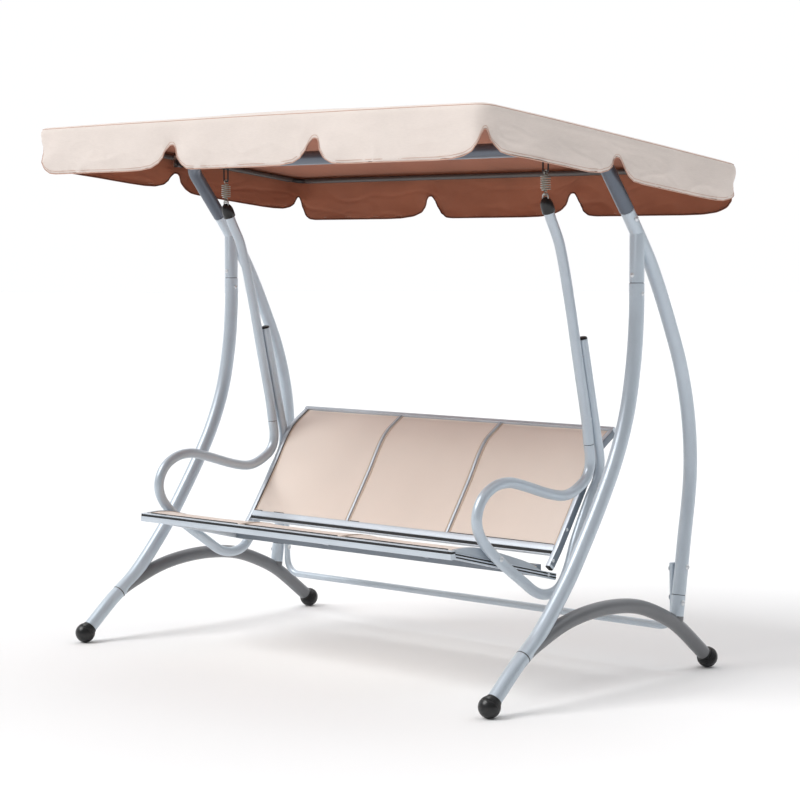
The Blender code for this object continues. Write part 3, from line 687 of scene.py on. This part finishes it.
def armrest_loop(side):
    x = side * HANGER_X
    word = side_name(side)
    loop = round_tube("look_loop_" + word, smooth_route(in_plane(x, LOOP_LINE), 8), HANGER_RADIUS, 28)
    finish_piece(loop, "bench", "paint", PAINT, "armrest_loop_" + word)
    joint_shadow(
        "look_joint_hanger_" + word, x, (0.1994, 0.7087), heading_at(HANGER_LINE, -2), HANGER_RADIUS, "bench"
    )
    way = heading_at(LOOP_LINE, -2)
    end = Vector((x, *LOOP_LINE[-1]))
    profile = [(0, 0.0075), (0.008, 0.0072), (0.0135, 0.0055), (0.0156, 0.0025), (0.0156, 0), (0, 0)]
    plug = turned("look_plug_" + word, profile, 28, end, way)
    finish_piece(plug, "bench", "black_plastic", BLACK, "loop_plug_" + word)
    outer = side * (HANGER_X + HANGER_RADIUS - 0.0003)
    for purpose, y, z in (("seat", -0.226, 0.402), ("back", 0.234, 0.583)):
        name = "look_" + purpose + "_bolt_" + word
        bolt_head(name, (outer, y, z), (side, 0, 0), "bench", 0.0062, [purpose + "_bolt_" + word])
    outer = side * (HANGER_X + 0.0035)
    for number, (y, z) in enumerate(((0.1600, 0.978), (0.2040, 0.787))):
        name = "look_hanger_bolt_" + word + str(number)
        stands_for = ["hanger_bolt_" + word] if number else ()
        bolt_head(name, (outer, y, z), (side, 0, 0), "bench", 0.0050, stands_for)
    bolt_head("look_rest_screw_" + word, (x, -0.108, 0.606 + 0.0155), (0, 0, 1), "bench", 0.0035)


# ---------------------------------------------------------------- seat and back


def seat_line(y):
    share = (y - SEAT_FRONT[0]) / (SEAT_REAR[0] - SEAT_FRONT[0])
    return SEAT_FRONT[1] + (SEAT_REAR[1] - SEAT_FRONT[1]) * share


SEAT_ARCH = (
    (0.0, 0.004), (0.10, 0.019), (0.22, 0.029), (0.40, 0.028), (0.65, 0.020), (0.85, 0.012),
    (0.93, 0.005), (1.0, 0.003),
)


def seat_top(y):
    """Height of the arched upper edge of the seat's side rails, eased between the arch's knots."""
    share = (y - SEAT_FRONT[0]) / (SEAT_REAR[0] - SEAT_FRONT[0])
    share = min(max(share, 0.0), 1.0)
    for (left, low), (right, high) in zip(SEAT_ARCH, SEAT_ARCH[1:]):
        if share <= right:
            part = (share - left) / (right - left)
            return seat_line(y) + 0.010 + low + (high - low) * part
    return seat_line(y) + 0.010 + SEAT_ARCH[-1][1]


def seat_ys(count, end=-0.0062):
    return [-0.3880 + (end + 0.3880) * step / count for step in range(count + 1)]


def eased(line, times=3):
    """The line with its corners smoothed, its ends kept."""
    points = [Vector(point) for point in line]
    for _ in range(times):
        inner = [(a + b * 2 + c) / 4 for a, b, c in zip(points, points[1:], points[2:])]
        points = [points[0], *inner, points[-1]]
    return points


def rear_taper(y):
    """One along the sling, falling smoothly to nothing at the plate's rear end."""
    share = min(max((0.045 - y) / 0.110, 0), 1)
    return share * share * (3 - 2 * share)


def arch_plate(name, outer, inner):
    """The arched plate between a seat side rail and the edge of the sling."""
    ys = seat_ys(32, 0.045)
    top = [(y, seat_line(y) + 0.0015 + (seat_top(y) - seat_line(y) - 0.0015) * rear_taper(y)) for y in ys]
    top = eased(top, 4)
    outline = [*top, *reversed([Vector((y, seat_line(y))) for y in ys])]
    form = bmesh.new()
    near = [form.verts.new((inner, point.x, point.y)) for point in outline]
    far = [form.verts.new((outer, point.x, point.y)) for point in outline]
    for index in range(len(outline)):
        after = (index + 1) % len(outline)
        form.faces.new([near[index], near[after], far[after], far[index]])
    form.faces.new(near)
    form.faces.new(list(reversed(far)))
    rims = [edge for edge in form.edges if len(edge.link_faces) == 2 and edge.calc_face_angle(0) > 1.2]
    rims = [edge for edge in rims if all(vert.co.z > seat_line(vert.co.y) + 0.006 for vert in edge.verts)]
    bmesh.ops.bevel(form, geom=rims, offset=0.0015, segments=2, affect="EDGES")
    return finish_piece(object_from(form, name), "bench", "paint", PLATE_PAINT)


def rounded_box(width, height, radius=0.0015, steps=3):
    """A rectangle with rounded corners, as an outline."""
    found = []
    centres = ((1, 1, 0), (-1, 1, 90), (-1, -1, 180), (1, -1, 270))
    for across, upward, start in centres:
        for step in range(steps + 1):
            angle = math.radians(start + 90 * step / steps)
            found.append(
                (
                    across * (width / 2 - radius) + radius * math.cos(angle),
                    upward * (height / 2 - radius) + radius * math.sin(angle),
                )
            )
    return found


def bar(name, route, width, height, side, body, look, replaced=(), radius=0.0015):
    form = bmesh.new()
    sweep(form, route, rounded_box(width, height, radius), side)
    made = object_from(form, name)
    return finish_piece(made, body, "paint", look, *replaced)


def side_route(x, line, steps=0):
    points = in_plane(x, line)
    return smooth_route(points, steps) if steps else points


# A dark strip in the shadow material: it is painted shade inside slots, gaps and seams, and it also gives the
# real black end plugs and caps.
def shade_and_plug_strip(name, route, width, height, side):
    form = bmesh.new()
    sweep(form, route, rounded_box(width, height, 0.0004, 1), side)
    return finish_piece(object_from(form, name), "bench", "black_plastic", SHADOW)


def seat_frame():
    rail_centre = RAIL_X - 0.008
    front = [Vector((x, -0.401, 0.4235)) for x in (-RAIL_X, RAIL_X)]
    bar("look_seat_front", front, 0.0200, 0.0170, (0, 1, 0), "bench", RAIL_PAINT, ["seat_front_rail"])
    lip = [Vector((x, -0.4005, 0.4402)) for x in (-RAIL_X, RAIL_X)]
    bar("look_seat_front_lip", lip, 0.0170, 0.0030, (0, 1, 0), "bench", RAIL_PAINT, radius=0.0008)
    slot = [Vector((x, -0.4008, 0.4355)) for x in (-RAIL_X + 0.001, RAIL_X - 0.001)]
    shade_and_plug_strip("look_seat_front_slot", slot, 0.0178, 0.0070, (0, 1, 0))
    for word, left, right in panels():
        gap = [Vector((x, -0.3905, 0.4415)) for x in (left + 0.012, right - 0.012)]
        shade_and_plug_strip("look_seat_gap_" + word, gap, 0.0030, 0.0046, (0, 1, 0))
    rear = [Vector((x, 0.0045, seat_line(0.0045) + 0.010)) for x in (-0.662, 0.662)]
    # The rear rail takes the darker paint as painted shade, for the shadow under the sling.
    bar("look_seat_rear", rear, 0.0190, 0.0355, (0, 1, 0), "bench", PAINTED_SHADE_PAINT, ["seat_rear_rail"])
    for side in (-1, 1):
        word = side_name(side)
        line = [(y, seat_line(y)) for y in (-0.3895, 0.0650)]
        x = side * rail_centre
        bar(
            "look_seat_side_" + word, side_route(x, line), 0.0156, 0.0200, (1, 0, 0), "bench", RAIL_PAINT,
            ["seat_side_rail_" + word],
        )
        arch_plate("look_seat_arch_" + word, side * (RAIL_X - 0.0025), side * (RAIL_X - 0.0150))
        for number, rise in enumerate((0.0050, -0.0035)):
            shifted = [(y + 0.001, z + rise) for y, z in line]
            groove = side_route(side * (RAIL_X - 0.0009), shifted)
            shade_and_plug_strip("look_seat_slot_" + word + str(number), groove, 0.0022, 0.0044, (1, 0, 0))
        plug = side_route(x, [(0.0648, seat_line(0.0648)), (0.0668, seat_line(0.0668))])
        shade_and_plug_strip("look_seat_plug_" + word, plug, 0.0130, 0.0170, (1, 0, 0))
        divider = eased([(y, seat_top(y) - 0.0115) for y in seat_ys(24)])
        divider = [tuple(point) for point in divider]
        bar(
            "look_seat_divider_" + word, side_route(side * DIVIDER_X, divider), 0.0100, 0.0160, (1, 0, 0),
            "bench", RAIL_PAINT, ["seat_divider_" + word],
        )
        bolt_head(
            "look_seat_side_bolt_" + word, (side * RAIL_X, 0.030, seat_line(0.030) + 0.0012), (side, 0, 0),
            "bench", 0.0040,
        )


def set_back(route, distance):
    """A route in the side plane moved square to itself, away from the sitter."""
    moved = []
    for index, point in enumerate(route):
        heading = route[min(index + 1, len(route) - 1)] - route[max(index - 1, 0)]
        moved.append(point + Vector((0, heading.z, -heading.y)).normalized() * distance)
    return moved


def back_side(side, low, rise):
    """One side of the back: its rail with plugs and bolts, and the divider on that side."""
    word = side_name(side)
    x = side * (RAIL_X - 0.008)
    rail = smooth_route(in_plane(x, BACK_LINE), 10)
    route = set_back([Vector((x, 0.039, 0.349)), *rail], 0.0055)
    bar(
        "look_back_side_" + word, route, 0.0156, 0.0240, (1, 0, 0), "bench", RAIL_PAINT,
        ["back_side_rail_" + word],
    )
    face = [route[0].lerp(route[1], 0.12), *route[1:-1], route[-2].lerp(route[-1], 0.9)]
    face = [point + Vector((side * 0.0079, 0, 0)) for point in face]
    # A thin strip on the rail's outer face, in the darker painted-shade paint.
    bar("look_back_face_" + word, face, 0.0010, 0.0225, (1, 0, 0), "bench", PAINTED_SHADE_PAINT, radius=0.0003)
    way = (route[0] - route[1]).normalized()
    tip = route[0]
    plug = [tip - way * 0.002, tip + way * 0.0040]
    shade_and_plug_strip("look_back_plug_" + word, plug, 0.0138, 0.0210, (1, 0, 0))
    tip, way = route[-1], (route[-1] - route[-2]).normalized()
    cap = [tip - way * 0.002, tip + way * 0.0030]
    shade_and_plug_strip("look_back_cap_" + word, cap, 0.0140, 0.0200, (1, 0, 0))
    inset = side * (RAIL_X - 0.0168)
    seam = [point + Vector((inset - x, 0, 0)) for point in rail[2:-1]]
    shade_and_plug_strip("look_back_seam_" + word, seam, 0.0016, 0.0060, (1, 0, 0))
    route = smooth_route(in_plane(side * DIVIDER_X, BACK_LINE), 10)
    start = Vector((side * DIVIDER_X, *(low + rise * 0.0108)))
    route = [start, *[point for point in route if point.z > start.z + 0.003]]
    bar(
        "look_back_divider_" + word, route, 0.0100, 0.0110, (1, 0, 0), "bench", RAIL_PAINT,
        ["back_divider_" + word], 0.003,
    )
    for number, spot in enumerate(((0.280, 0.6945), (0.117, 0.4545), (0.0525, 0.3665))):
        name = "look_back_side_bolt_" + word + str(number)
        bolt_head(name, (side * RAIL_X, *spot), (side, 0, 0), "bench", 0.0042)


def back_frame():
    rise = (Vector(BACK_LINE[1]) - Vector(BACK_LINE[0])).normalized()
    low = Vector(BACK_LINE[0])
    end = Vector(BACK_LINE[-1])
    lean = (end - Vector(BACK_LINE[-2])).normalized()
    top = end + lean * 0.0070
    route = [Vector((x, *top)) for x in (-RAIL_X, RAIL_X)]
    square = Vector((0, *lean))
    bar("look_back_top", route, 0.0130, 0.0165, square, "bench", RAIL_PAINT, ["back_top_rail"], 0.002)
    route = [Vector((x, *low)) for x in (-0.662, 0.662)]
    square = Vector((0, *rise))
    bar("look_back_lower", route, 0.0210, 0.0130, square, "bench", RAIL_PAINT, ["back_lower_rail"])
    under = low - rise * 0.0155
    strip = [Vector((x, *under)) for x in (-0.661, 0.661)]
    shade_and_plug_strip("look_back_slot", strip, 0.0110, 0.0100, square)
    foot_rail = low - rise * 0.0220
    strip = [Vector((x, *foot_rail)) for x in (-0.661, 0.661)]
    bar("look_back_foot", strip, 0.0026, 0.0130, square, "bench", RAIL_PAINT, radius=0.0006)
    above = low + rise * 0.0112
    for number, ends in enumerate(((0.232, 0.655), (-0.205, -0.165), (-0.655, -0.625), (-0.565, -0.52))):
        strip = [Vector((x, *above)) for x in ends]
        shade_and_plug_strip("look_back_gap_" + str(number), strip, 0.0034, 0.0110, square)
    for side in (-1, 1):
        back_side(side, low, rise)


def panels():
    inner = DIVIDER_X - 0.0056
    outer = DIVIDER_X + 0.0056
    edge = RAIL_X - 0.0166
    return (("left", -edge, -outer), ("middle", -inner, inner), ("right", outer, edge))


def sling(name, line, left, right, sag, node, thickness=0.0016):
    """A taut panel of mesh cloth.  It follows the frame's line, and sags a little in the middle."""
    across = 36
    form = bmesh.new()
    rows = []
    count = len(line)
    for index, point in enumerate(line):
        share = index / (count - 1)
        before = line[max(index - 1, 0)]
        after = line[min(index + 1, count - 1)]
        heading = (after - before).normalized()
        normal = Vector((-heading.y, heading.x))
        row = []
        for step in range(across + 1):
            span = step / across
            x = left + (right - left) * span
            belly = (4 * span * (1 - span)) ** 0.7 * (4 * share * (1 - share)) ** 0.7
            ripple = 0.0006 * noise.noise(Vector((x * 9, share * 5, 2.0)))
            moved = point - normal * (sag * belly - ripple)
            row.append(form.verts.new((x, moved.x, moved.y)))
        rows.append(row)
    flat = form.loops.layers.uv.new("flat")
    walked = [0.0]
    for before, after in zip(line, line[1:]):
        walked.append(walked[-1] + (after - before).length)
    for number, (row, following) in enumerate(zip(rows, rows[1:])):
        for index in range(across):
            face = form.faces.new([row[index], row[index + 1], following[index + 1], following[index]])
            for loop, share in zip(face.loops, (number, number, number + 1, number + 1)):
                loop[flat].uv = (loop.vert.co.x, walked[share])
    made = object_from(form, name, 60)
    thick = made.modifiers.new("cloth", "SOLIDIFY")
    thick.thickness = thickness
    thick.offset = 0
    finish_piece(made, "bench", "sling", SLING, node)
    for word, x in (("a", left), ("b", right)):
        towards = 1 if x == left else -1
        route = [Vector((x + towards * 0.0035, *point)) for point in line]
        form = bmesh.new()
        sweep(form, route, rounded_box(0.0070, thickness + 0.0012, 0.0006, 2), (1, 0, 0))
        hem = object_from(form, name + "_hem_" + word)
        finish_piece(hem, "bench", "sling", HEM)
    length = sum((after - before).length for before, after in zip(line, line[1:]))
    return made


def seat_slings():
    for word, left, right in panels():
        line = eased([(y, seat_top(y) - 0.0028) for y in seat_ys(40, -0.0070)], 6)
        sling(
            "look_seat_sling_" + word, line, left, right, 0.004, "seat_sling_" + word,
        )


def back_slings():
    rise = (Vector(BACK_LINE[1]) - Vector(BACK_LINE[0])).normalized()
    start = Vector(BACK_LINE[0]) + rise * 0.011
    whole = smooth_route(in_plane(0, BACK_LINE), 12)
    line = [start, *[Vector((point.y, point.z)) for point in whole if point.z > start.y + 0.004]]
    for word, left, right in panels():
        sling(
            "look_back_sling_" + word, line, left, right, 0.007, "back_sling_" + word,
        )


# ---------------------------------------------------------------- canopy


def edge_height(y):
    return CANOPY_EDGE_Z - CANOPY_SLOPE * y


def canopy_columns():
    """Points round the canopy's edge: (x, y, outward normal, drop, depth share), front left corner first."""
    a = CANOPY_HALF_WIDTH
    b = CANOPY_HALF_DEPTH
    corner = 0.050
    sides = (
        (Vector((-a, -b)), Vector((a, -b)), END_DROP, [-0.308, 0.318]),
        (Vector((a, -b)), Vector((a, b)), SIDE_DROP, [-0.012]),
        (Vector((a, b)), Vector((-a, b)), END_DROP, [-0.315, 0.315]),
        (Vector((-a, b)), Vector((-a, -b)), SIDE_DROP, [0.0]),
    )
    columns = []
    for number, (start, end, drop, notches) in enumerate(sides):
        length = (end - start).length
        way = (end - start).normalized()
        outward = Vector((way.y, -way.x))
        centres = [0.0] + [length / 2 + notch for notch in notches] + [length]
        stations = notch_stations(centres, length)
        for station in stations:
            depth = scallop_depth(station, centres, number)
            place = start + way * station
            columns.append((place, outward, drop, depth))
    return round_corners(columns, a, b, corner)


def notch_stations(centres, length):
    """Stations along a side: close together near a notch, further apart elsewhere."""
    stations = []
    station = 0.0
    while station < length - 0.0005:
        stations.append(station)
        near = min(abs(station - centre) for centre in centres)
        station += 0.0016 if near < 0.012 else 0.0035 if near < 0.040 else 0.0070 if near < 0.090 else 0.0130
    return stations


BROAD_CURVE = (
    (0.000, 0.0), (0.009, 0.02), (0.021, 0.18), (0.033, 0.49), (0.051, 0.72), (0.087, 0.90),
    (0.140, 0.98), (0.210, 1.0),
)
STEEP_CURVE = (
    (0.000, 0.0), (0.009, 0.02), (0.017, 0.15), (0.026, 0.46), (0.044, 0.78), (0.068, 0.96), (0.098, 1.0),
)
NOTCH_TIP = 0.42


def read_curve(curve, distance):
    for (left, low), (right, high) in zip(curve, curve[1:]):
        if distance <= right:
            return low + (high - low) * (distance - left) / (right - left)
    return 1.0


def scallop_depth(station, centres, number):
    """How deep the valance hangs: a narrow notch, steep on one side and in a broad sweep on the other."""
    steep_first = number in (0, 1)
    lowest = 1.0
    for centre in centres:
        after = station >= centre
        curve = STEEP_CURVE if after == steep_first else BROAD_CURVE
        lowest = min(lowest, read_curve(curve, abs(station - centre)))
    return NOTCH_TIP + (1 - NOTCH_TIP) * lowest


def round_corners(columns, a, b, corner):
    """Moves the columns next to each corner onto an arc."""
    rounded = []
    for place, outward, drop, depth in columns:
        x, y = place
        inner = Vector((math.copysign(max(a - corner, 0), x), math.copysign(max(b - corner, 0), y)))
        offset = Vector((x, y)) - inner
        if abs(x) > a - corner and abs(y) > b - corner and offset.length > 1e-6:
            scale = max(abs(offset.x), abs(offset.y))
            direction = offset.normalized()
            place = inner + direction * corner
            outward = direction
            share = min(abs(offset.x), abs(offset.y)) / scale
            drop = drop + (0.5 * (END_DROP + SIDE_DROP) - drop) * share
        rounded.append((place, outward, drop, depth))
    return rounded


ROOF_RINGS = 30
FOLD_ROWS = 6
VALANCE_ROWS = 22
FOLD = 0.022


def roof_point(x, y):
    across = 1 - (x / CANOPY_HALF_WIDTH) ** 2
    along = 1 - (y / CANOPY_HALF_DEPTH) ** 2
    height = edge_height(y) + CANOPY_CROWN * max(across, 0) * max(along, 0)
    wrinkle = noise.noise(Vector((x * 3.0, y * 3.0, 1.3))) * 0.0035
    wrinkle += noise.noise(Vector((x * 9.0, y * 9.0, 4.1))) * 0.0014
    return height + wrinkle * min(across * 4, along * 4, 1)


def ridge(place, scale, depth):
    """A sharp crease where the noise crosses zero."""
    value = noise.noise(Vector((place.x * scale, place.y * scale, depth)))
    return max(1 - abs(value) * 5, 0) ** 2


def valance_push(place, share, near):
    """How far the hanging cloth stands out: soft puffs, creases, and a pull towards each notch."""
    puff = noise.noise(Vector((place.x * 4.6, place.y * 4.6, share * 0.9))) * 0.011
    soft = noise.noise(Vector((place.x * 12, place.y * 12, share * 2.2 + 5))) * 0.0042
    crease = ridge(place, 5.5, share * 1.8 + 3) * 0.0042 + ridge(place, 9.0, share * 2.6 + 7) * 0.0022
    fine = noise.noise(Vector((place.x * 40, place.y * 40, share * 6.0 + 9))) * 0.0009
    belly = 0.005 * math.sin(math.pi * min(share, 1))
    pull = -0.009 * math.exp(-((near / 0.045) ** 2)) * math.exp(-(((share - 0.45) / 0.22) ** 2))
    pushed = (puff + soft + crease + fine + belly) * share ** 0.6 + pull - 0.006 * share
    return min(pushed, 0.0085)


def lay_strip(form, flat, ring, following, places):
    """Faces between two rings, with the cloth's flat coordinates from `places`."""
    count = len(ring)
    for index in range(count):
        after = (index + 1) % count
        face = form.faces.new([ring[index], following[index], following[after], ring[after]])
        corners = (places(index, ring[index]), places(index, following[index]))
        ends = (places(index + 1, following[after]), places(index + 1, ring[after]))
        for loop, place in zip(face.loops, (*corners, *ends)):
            loop[flat].uv = place


def roof_rings(form, columns):
    """Rings of points from near the roof's middle out to the fold."""
    for ring in range(1, ROOF_RINGS + 1):
        scale = 1 - (1 - ring / ROOF_RINGS) ** 1.25
        row = []
        for place, outward, _drop, _depth in columns:
            x, y = (place - outward * FOLD) * scale
            row.append(form.verts.new((x, y, roof_point(x, y))))
        yield row


def fold_rings(form, columns):
    """Rings round the rounded fold where the roof turns down."""
    for fold in range(1, FOLD_ROWS + 1):
        angle = math.pi / 2 * fold / FOLD_ROWS
        row = []
        for place, outward, _drop, _depth in columns:
            inner = place - outward * FOLD
            point = place - outward * (FOLD * (1 - math.sin(angle)))
            start = roof_point(inner.x, inner.y)
            end = edge_height(place.y) - FOLD
            height = end + (start - end) * math.cos(angle)
            row.append(form.verts.new((point.x, point.y, height)))
        yield row


def valance_rings(form, columns, near):
    """Rings down the hanging cloth, each column ending at its scallop."""
    for down in range(1, VALANCE_ROWS + 1):
        row = []
        for number, (place, outward, drop, depth) in enumerate(columns):
            share = down / VALANCE_ROWS * depth
            point = place + outward * valance_push(place, share, near[number])
            height = edge_height(place.y) - FOLD - (drop - FOLD) * share
            row.append(form.verts.new((point.x, point.y, height)))
        yield row


def canopy():
    columns = canopy_columns()
    form = bmesh.new()
    flat = form.loops.layers.uv.new("flat")
    walked = [0.0]
    for index, column in enumerate(columns):
        after = columns[(index + 1) % len(columns)]
        walked.append(walked[-1] + (after[0] - column[0]).length)
    tips = [walked[index] for index, column in enumerate(columns) if column[3] < NOTCH_TIP + 0.006]
    near = [min(abs(place - tip) for tip in tips) for place in walked[:-1]]
    rings = [*roof_rings(form, columns), *fold_rings(form, columns), *valance_rings(form, columns, near)]
    centre = form.verts.new((0, 0, roof_point(0, 0)))
    count = len(columns)
    for index in range(count):
        after = (index + 1) % count
        face = form.faces.new([centre, rings[0][index], rings[0][after]])
        for loop in face.loops:
            loop[flat].uv = loop.vert.co.xy
    for number, (ring, following) in enumerate(zip(rings, rings[1:])):
        if number < ROOF_RINGS + FOLD_ROWS // 2:
            lay_strip(form, flat, ring, following, lambda index, vert: vert.co.xy)
        else:
            lay_strip(form, flat, ring, following, lambda index, vert: (walked[index], vert.co.z))
    hem_points = [vertex.co.copy() for vertex in rings[-1]]
    stitch_points = []
    inner_points = []
    for index, (_place, outward, _drop, _depth) in enumerate(columns):
        low, high = rings[-1][index].co, rings[-4][index].co
        out = Vector((outward.x, outward.y, 0))
        stitch_points.append(low + (high - low).normalized() * 0.0085 + out * 0.0004)
        inner_points.append(low - out * 0.0017 + Vector((0, 0, 0.0010)))
    seam_points = [vertex.co.copy() for vertex in rings[ROOF_RINGS + 2]]
    area = sum(face.calc_area() for face in form.faces)
    cloth = object_from(form, "look_canopy", 80)
    if sum((face.center.z - 1.6) * face.normal.z for face in cloth.data.polygons) < 0:
        cloth.data.flip_normals()
    cloth.data.materials.append(COVER)
    cloth.data.materials.append(LINING)
    thick = cloth.modifiers.new("cloth", "SOLIDIFY")
    thick.thickness = 0.0012
    thick.offset = -1
    thick.material_offset = 1
    finish_piece(cloth, "canopy", "cover", COVER, "canopy_cover")
    sewn = [
        edge_cord("look_canopy_piping", hem_points, 0.0016, PIPING),
        edge_cord("look_canopy_seam", seam_points, 0.0011, PIPING),
        edge_cord("look_canopy_stitch", stitch_points, 0.0006, PIPING),
        edge_cord("look_canopy_inner_hem", inner_points, 0.0022, INNER_HEM),
    ]


def edge_cord(name, points, radius, look):
    """A thin closed cord sewn along an edge of the cloth."""
    form = bmesh.new()
    rings = []
    count = len(points)
    for index, point in enumerate(points):
        heading = (points[(index + 1) % count] - points[index - 1]).normalized()
        lateral = Vector((0, 0, 1)).cross(heading)
        if lateral.length < 1e-4:
            lateral = Vector((1, 0, 0))
        lateral.normalize()
        upward = heading.cross(lateral)
        rings.append([form.verts.new(point + lateral * u + upward * v) for u, v in circle(radius, 8)])
    for index in range(count):
        ring = rings[index]
        following = rings[(index + 1) % count]
        for corner in range(8):
            after = (corner + 1) % 8
            form.faces.new([ring[corner], ring[after], following[after], following[corner]])
    return finish_piece(object_from(form, name, 60), "canopy", "cover", look)


def canopy_frame():
    drop = 0.015
    side_x = 0.9555
    end_y = 0.584
    for word, y in (("front", -end_y), ("rear", end_y)):
        route = [Vector((x, y, edge_height(y) - drop)) for x in (-0.917, 0.917)]
        tube = round_tube("look_canopy_tube_" + word, route, 0.009, 20, (0, 1, 0))
        finish_piece(tube, "canopy", "paint", FRAME_PAINT, "canopy_tube_" + word)
        for side in (-1, 1):
            inward = math.copysign(0.045, -y)
            corners = [
                Vector((side * 0.905, y, edge_height(y) - drop)),
                Vector((side * side_x, y, edge_height(y) - drop)),
                Vector((side * side_x, y + inward * 1.3, edge_height(y + inward * 1.3) - drop)),
            ]
            name = "look_canopy_elbow_" + word + "_" + side_name(side)
            elbow = round_tube(name, bent_route(corners, 0.040, 10), 0.0082, 16, (0, 0, 1))
            finish_piece(elbow, "canopy", "black_plastic", BLACK)
    for side in (-1, 1):
        word = side_name(side)
        route = [Vector((side * side_x, y, edge_height(y) - drop)) for y in (-0.545, 0.545)]
        tube = round_tube("look_canopy_tube_" + word, route, 0.009, 20)
        finish_piece(tube, "canopy", "paint", FRAME_PAINT, "canopy_tube_" + word)


def small_fittings():
    """The brackets and knobs keep their CAD shape, with a finished material."""
    for kind, look in (("tilt_bracket_", STEEL), ("tilt_knob_", BLACK)):
        for side in (-1, 1):
            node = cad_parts[kind + side_name(side)]
            node.data.materials.clear()
            node.data.materials.append(look)


# ---------------------------------------------------------------- stage


def floor():
    form = bmesh.new()
    bmesh.ops.create_circle(form, cap_ends=True, segments=96, radius=60.0)
    made = object_from(form, "floor")
    made.location.z = -0.0005
    look = Shader("floor_pale", 0.85, Specular_IOR_Level=0.1)
    tone = look.noise(0.6, 2.0)
    look.colour(look.ramp(tone, [(0.3, (0.93, 0.93, 0.93)), (0.7, (0.95, 0.95, 0.95))]))
    made.data.materials.append(look.material)


BACKDROP_WAY = (-0.677, 0.733, 0.06)


def sun(name, source, strength, spread):
    """A soft sun shining from the direction `source`, over a spread in degrees."""
    data = bpy.data.lights.new(name, "SUN")
    data.energy = strength
    data.angle = math.radians(spread)
    made = bpy.data.objects.new(name, data)
    bpy.context.scene.collection.objects.link(made)
    made.rotation_euler = (-Vector(source)).to_track_quat("-Z", "Y").to_euler()


def lights():
    world = bpy.data.worlds.new("studio")
    bpy.context.scene.world = world
    world.use_nodes = True
    tree = world.node_tree
    background = tree.nodes["Background"]
    place = tree.nodes.new("ShaderNodeTexCoord")
    towards = tree.nodes.new("ShaderNodeVectorMath")
    towards.operation = "DOT_PRODUCT"
    towards.inputs[1].default_value = BACKDROP_WAY
    tree.links.new(place.outputs["Generated"], towards.inputs[0])
    ramp = tree.nodes.new("ShaderNodeValToRGB")
    elements = ramp.color_ramp.elements
    elements.new(0.5)
    for element, (position, tone) in zip(elements, ((0.0, 0.22), (0.62, 0.42), (0.80, 1.0))):
        element.position = position
        element.color = (tone, tone * 1.005, tone * 1.02, 1.0)
    share = tree.nodes.new("ShaderNodeMapRange")
    share.inputs["From Min"].default_value = -1.0
    tree.links.new(towards.outputs["Value"], share.inputs["Value"])
    tree.links.new(share.outputs["Result"], ramp.inputs["Fac"])
    tree.links.new(ramp.outputs["Color"], background.inputs["Color"])
    background.inputs["Strength"].default_value = 1.0
    sun("key", (-0.42, -0.72, 0.85), 1.9, 35)
    sun("top", (0.1, 0.25, 1.0), 0.7, 60)


def camera():
    data = bpy.data.cameras.new("camera")
    made = bpy.data.objects.new("camera", data)
    bpy.context.scene.collection.objects.link(made)
    azimuth = math.radians(42.688)
    down = math.radians(3.767)
    back = Vector((math.sin(azimuth) * math.cos(down), -math.cos(azimuth) * math.cos(down), math.sin(down)))
    made.location = (4.8696, -5.1008, 1.3008)
    made.rotation_euler = (-back).to_track_quat("-Z", "Y").to_euler()
    data.sensor_width = 36.0
    data.lens = 99.9
    data.shift_x = -0.0200
    data.shift_y = -0.0056
    data.clip_end = 200
    bpy.context.scene.camera = made


def main():
    camera()
    lights()
    floor()
    bpy.context.scene.view_settings.view_transform = "Standard"
    crossbar()
    brace(-1, -0.044, 0.0112)
    brace(1, -0.046, BRACE_RADIUS)
    for side in (-1, 1):
        stand_side(side)
        suspension(side)
        armrest_loop(side)
    seat_frame()
    back_frame()
    seat_slings()
    back_slings()
    canopy_frame()
    canopy()
    small_fittings()


main()
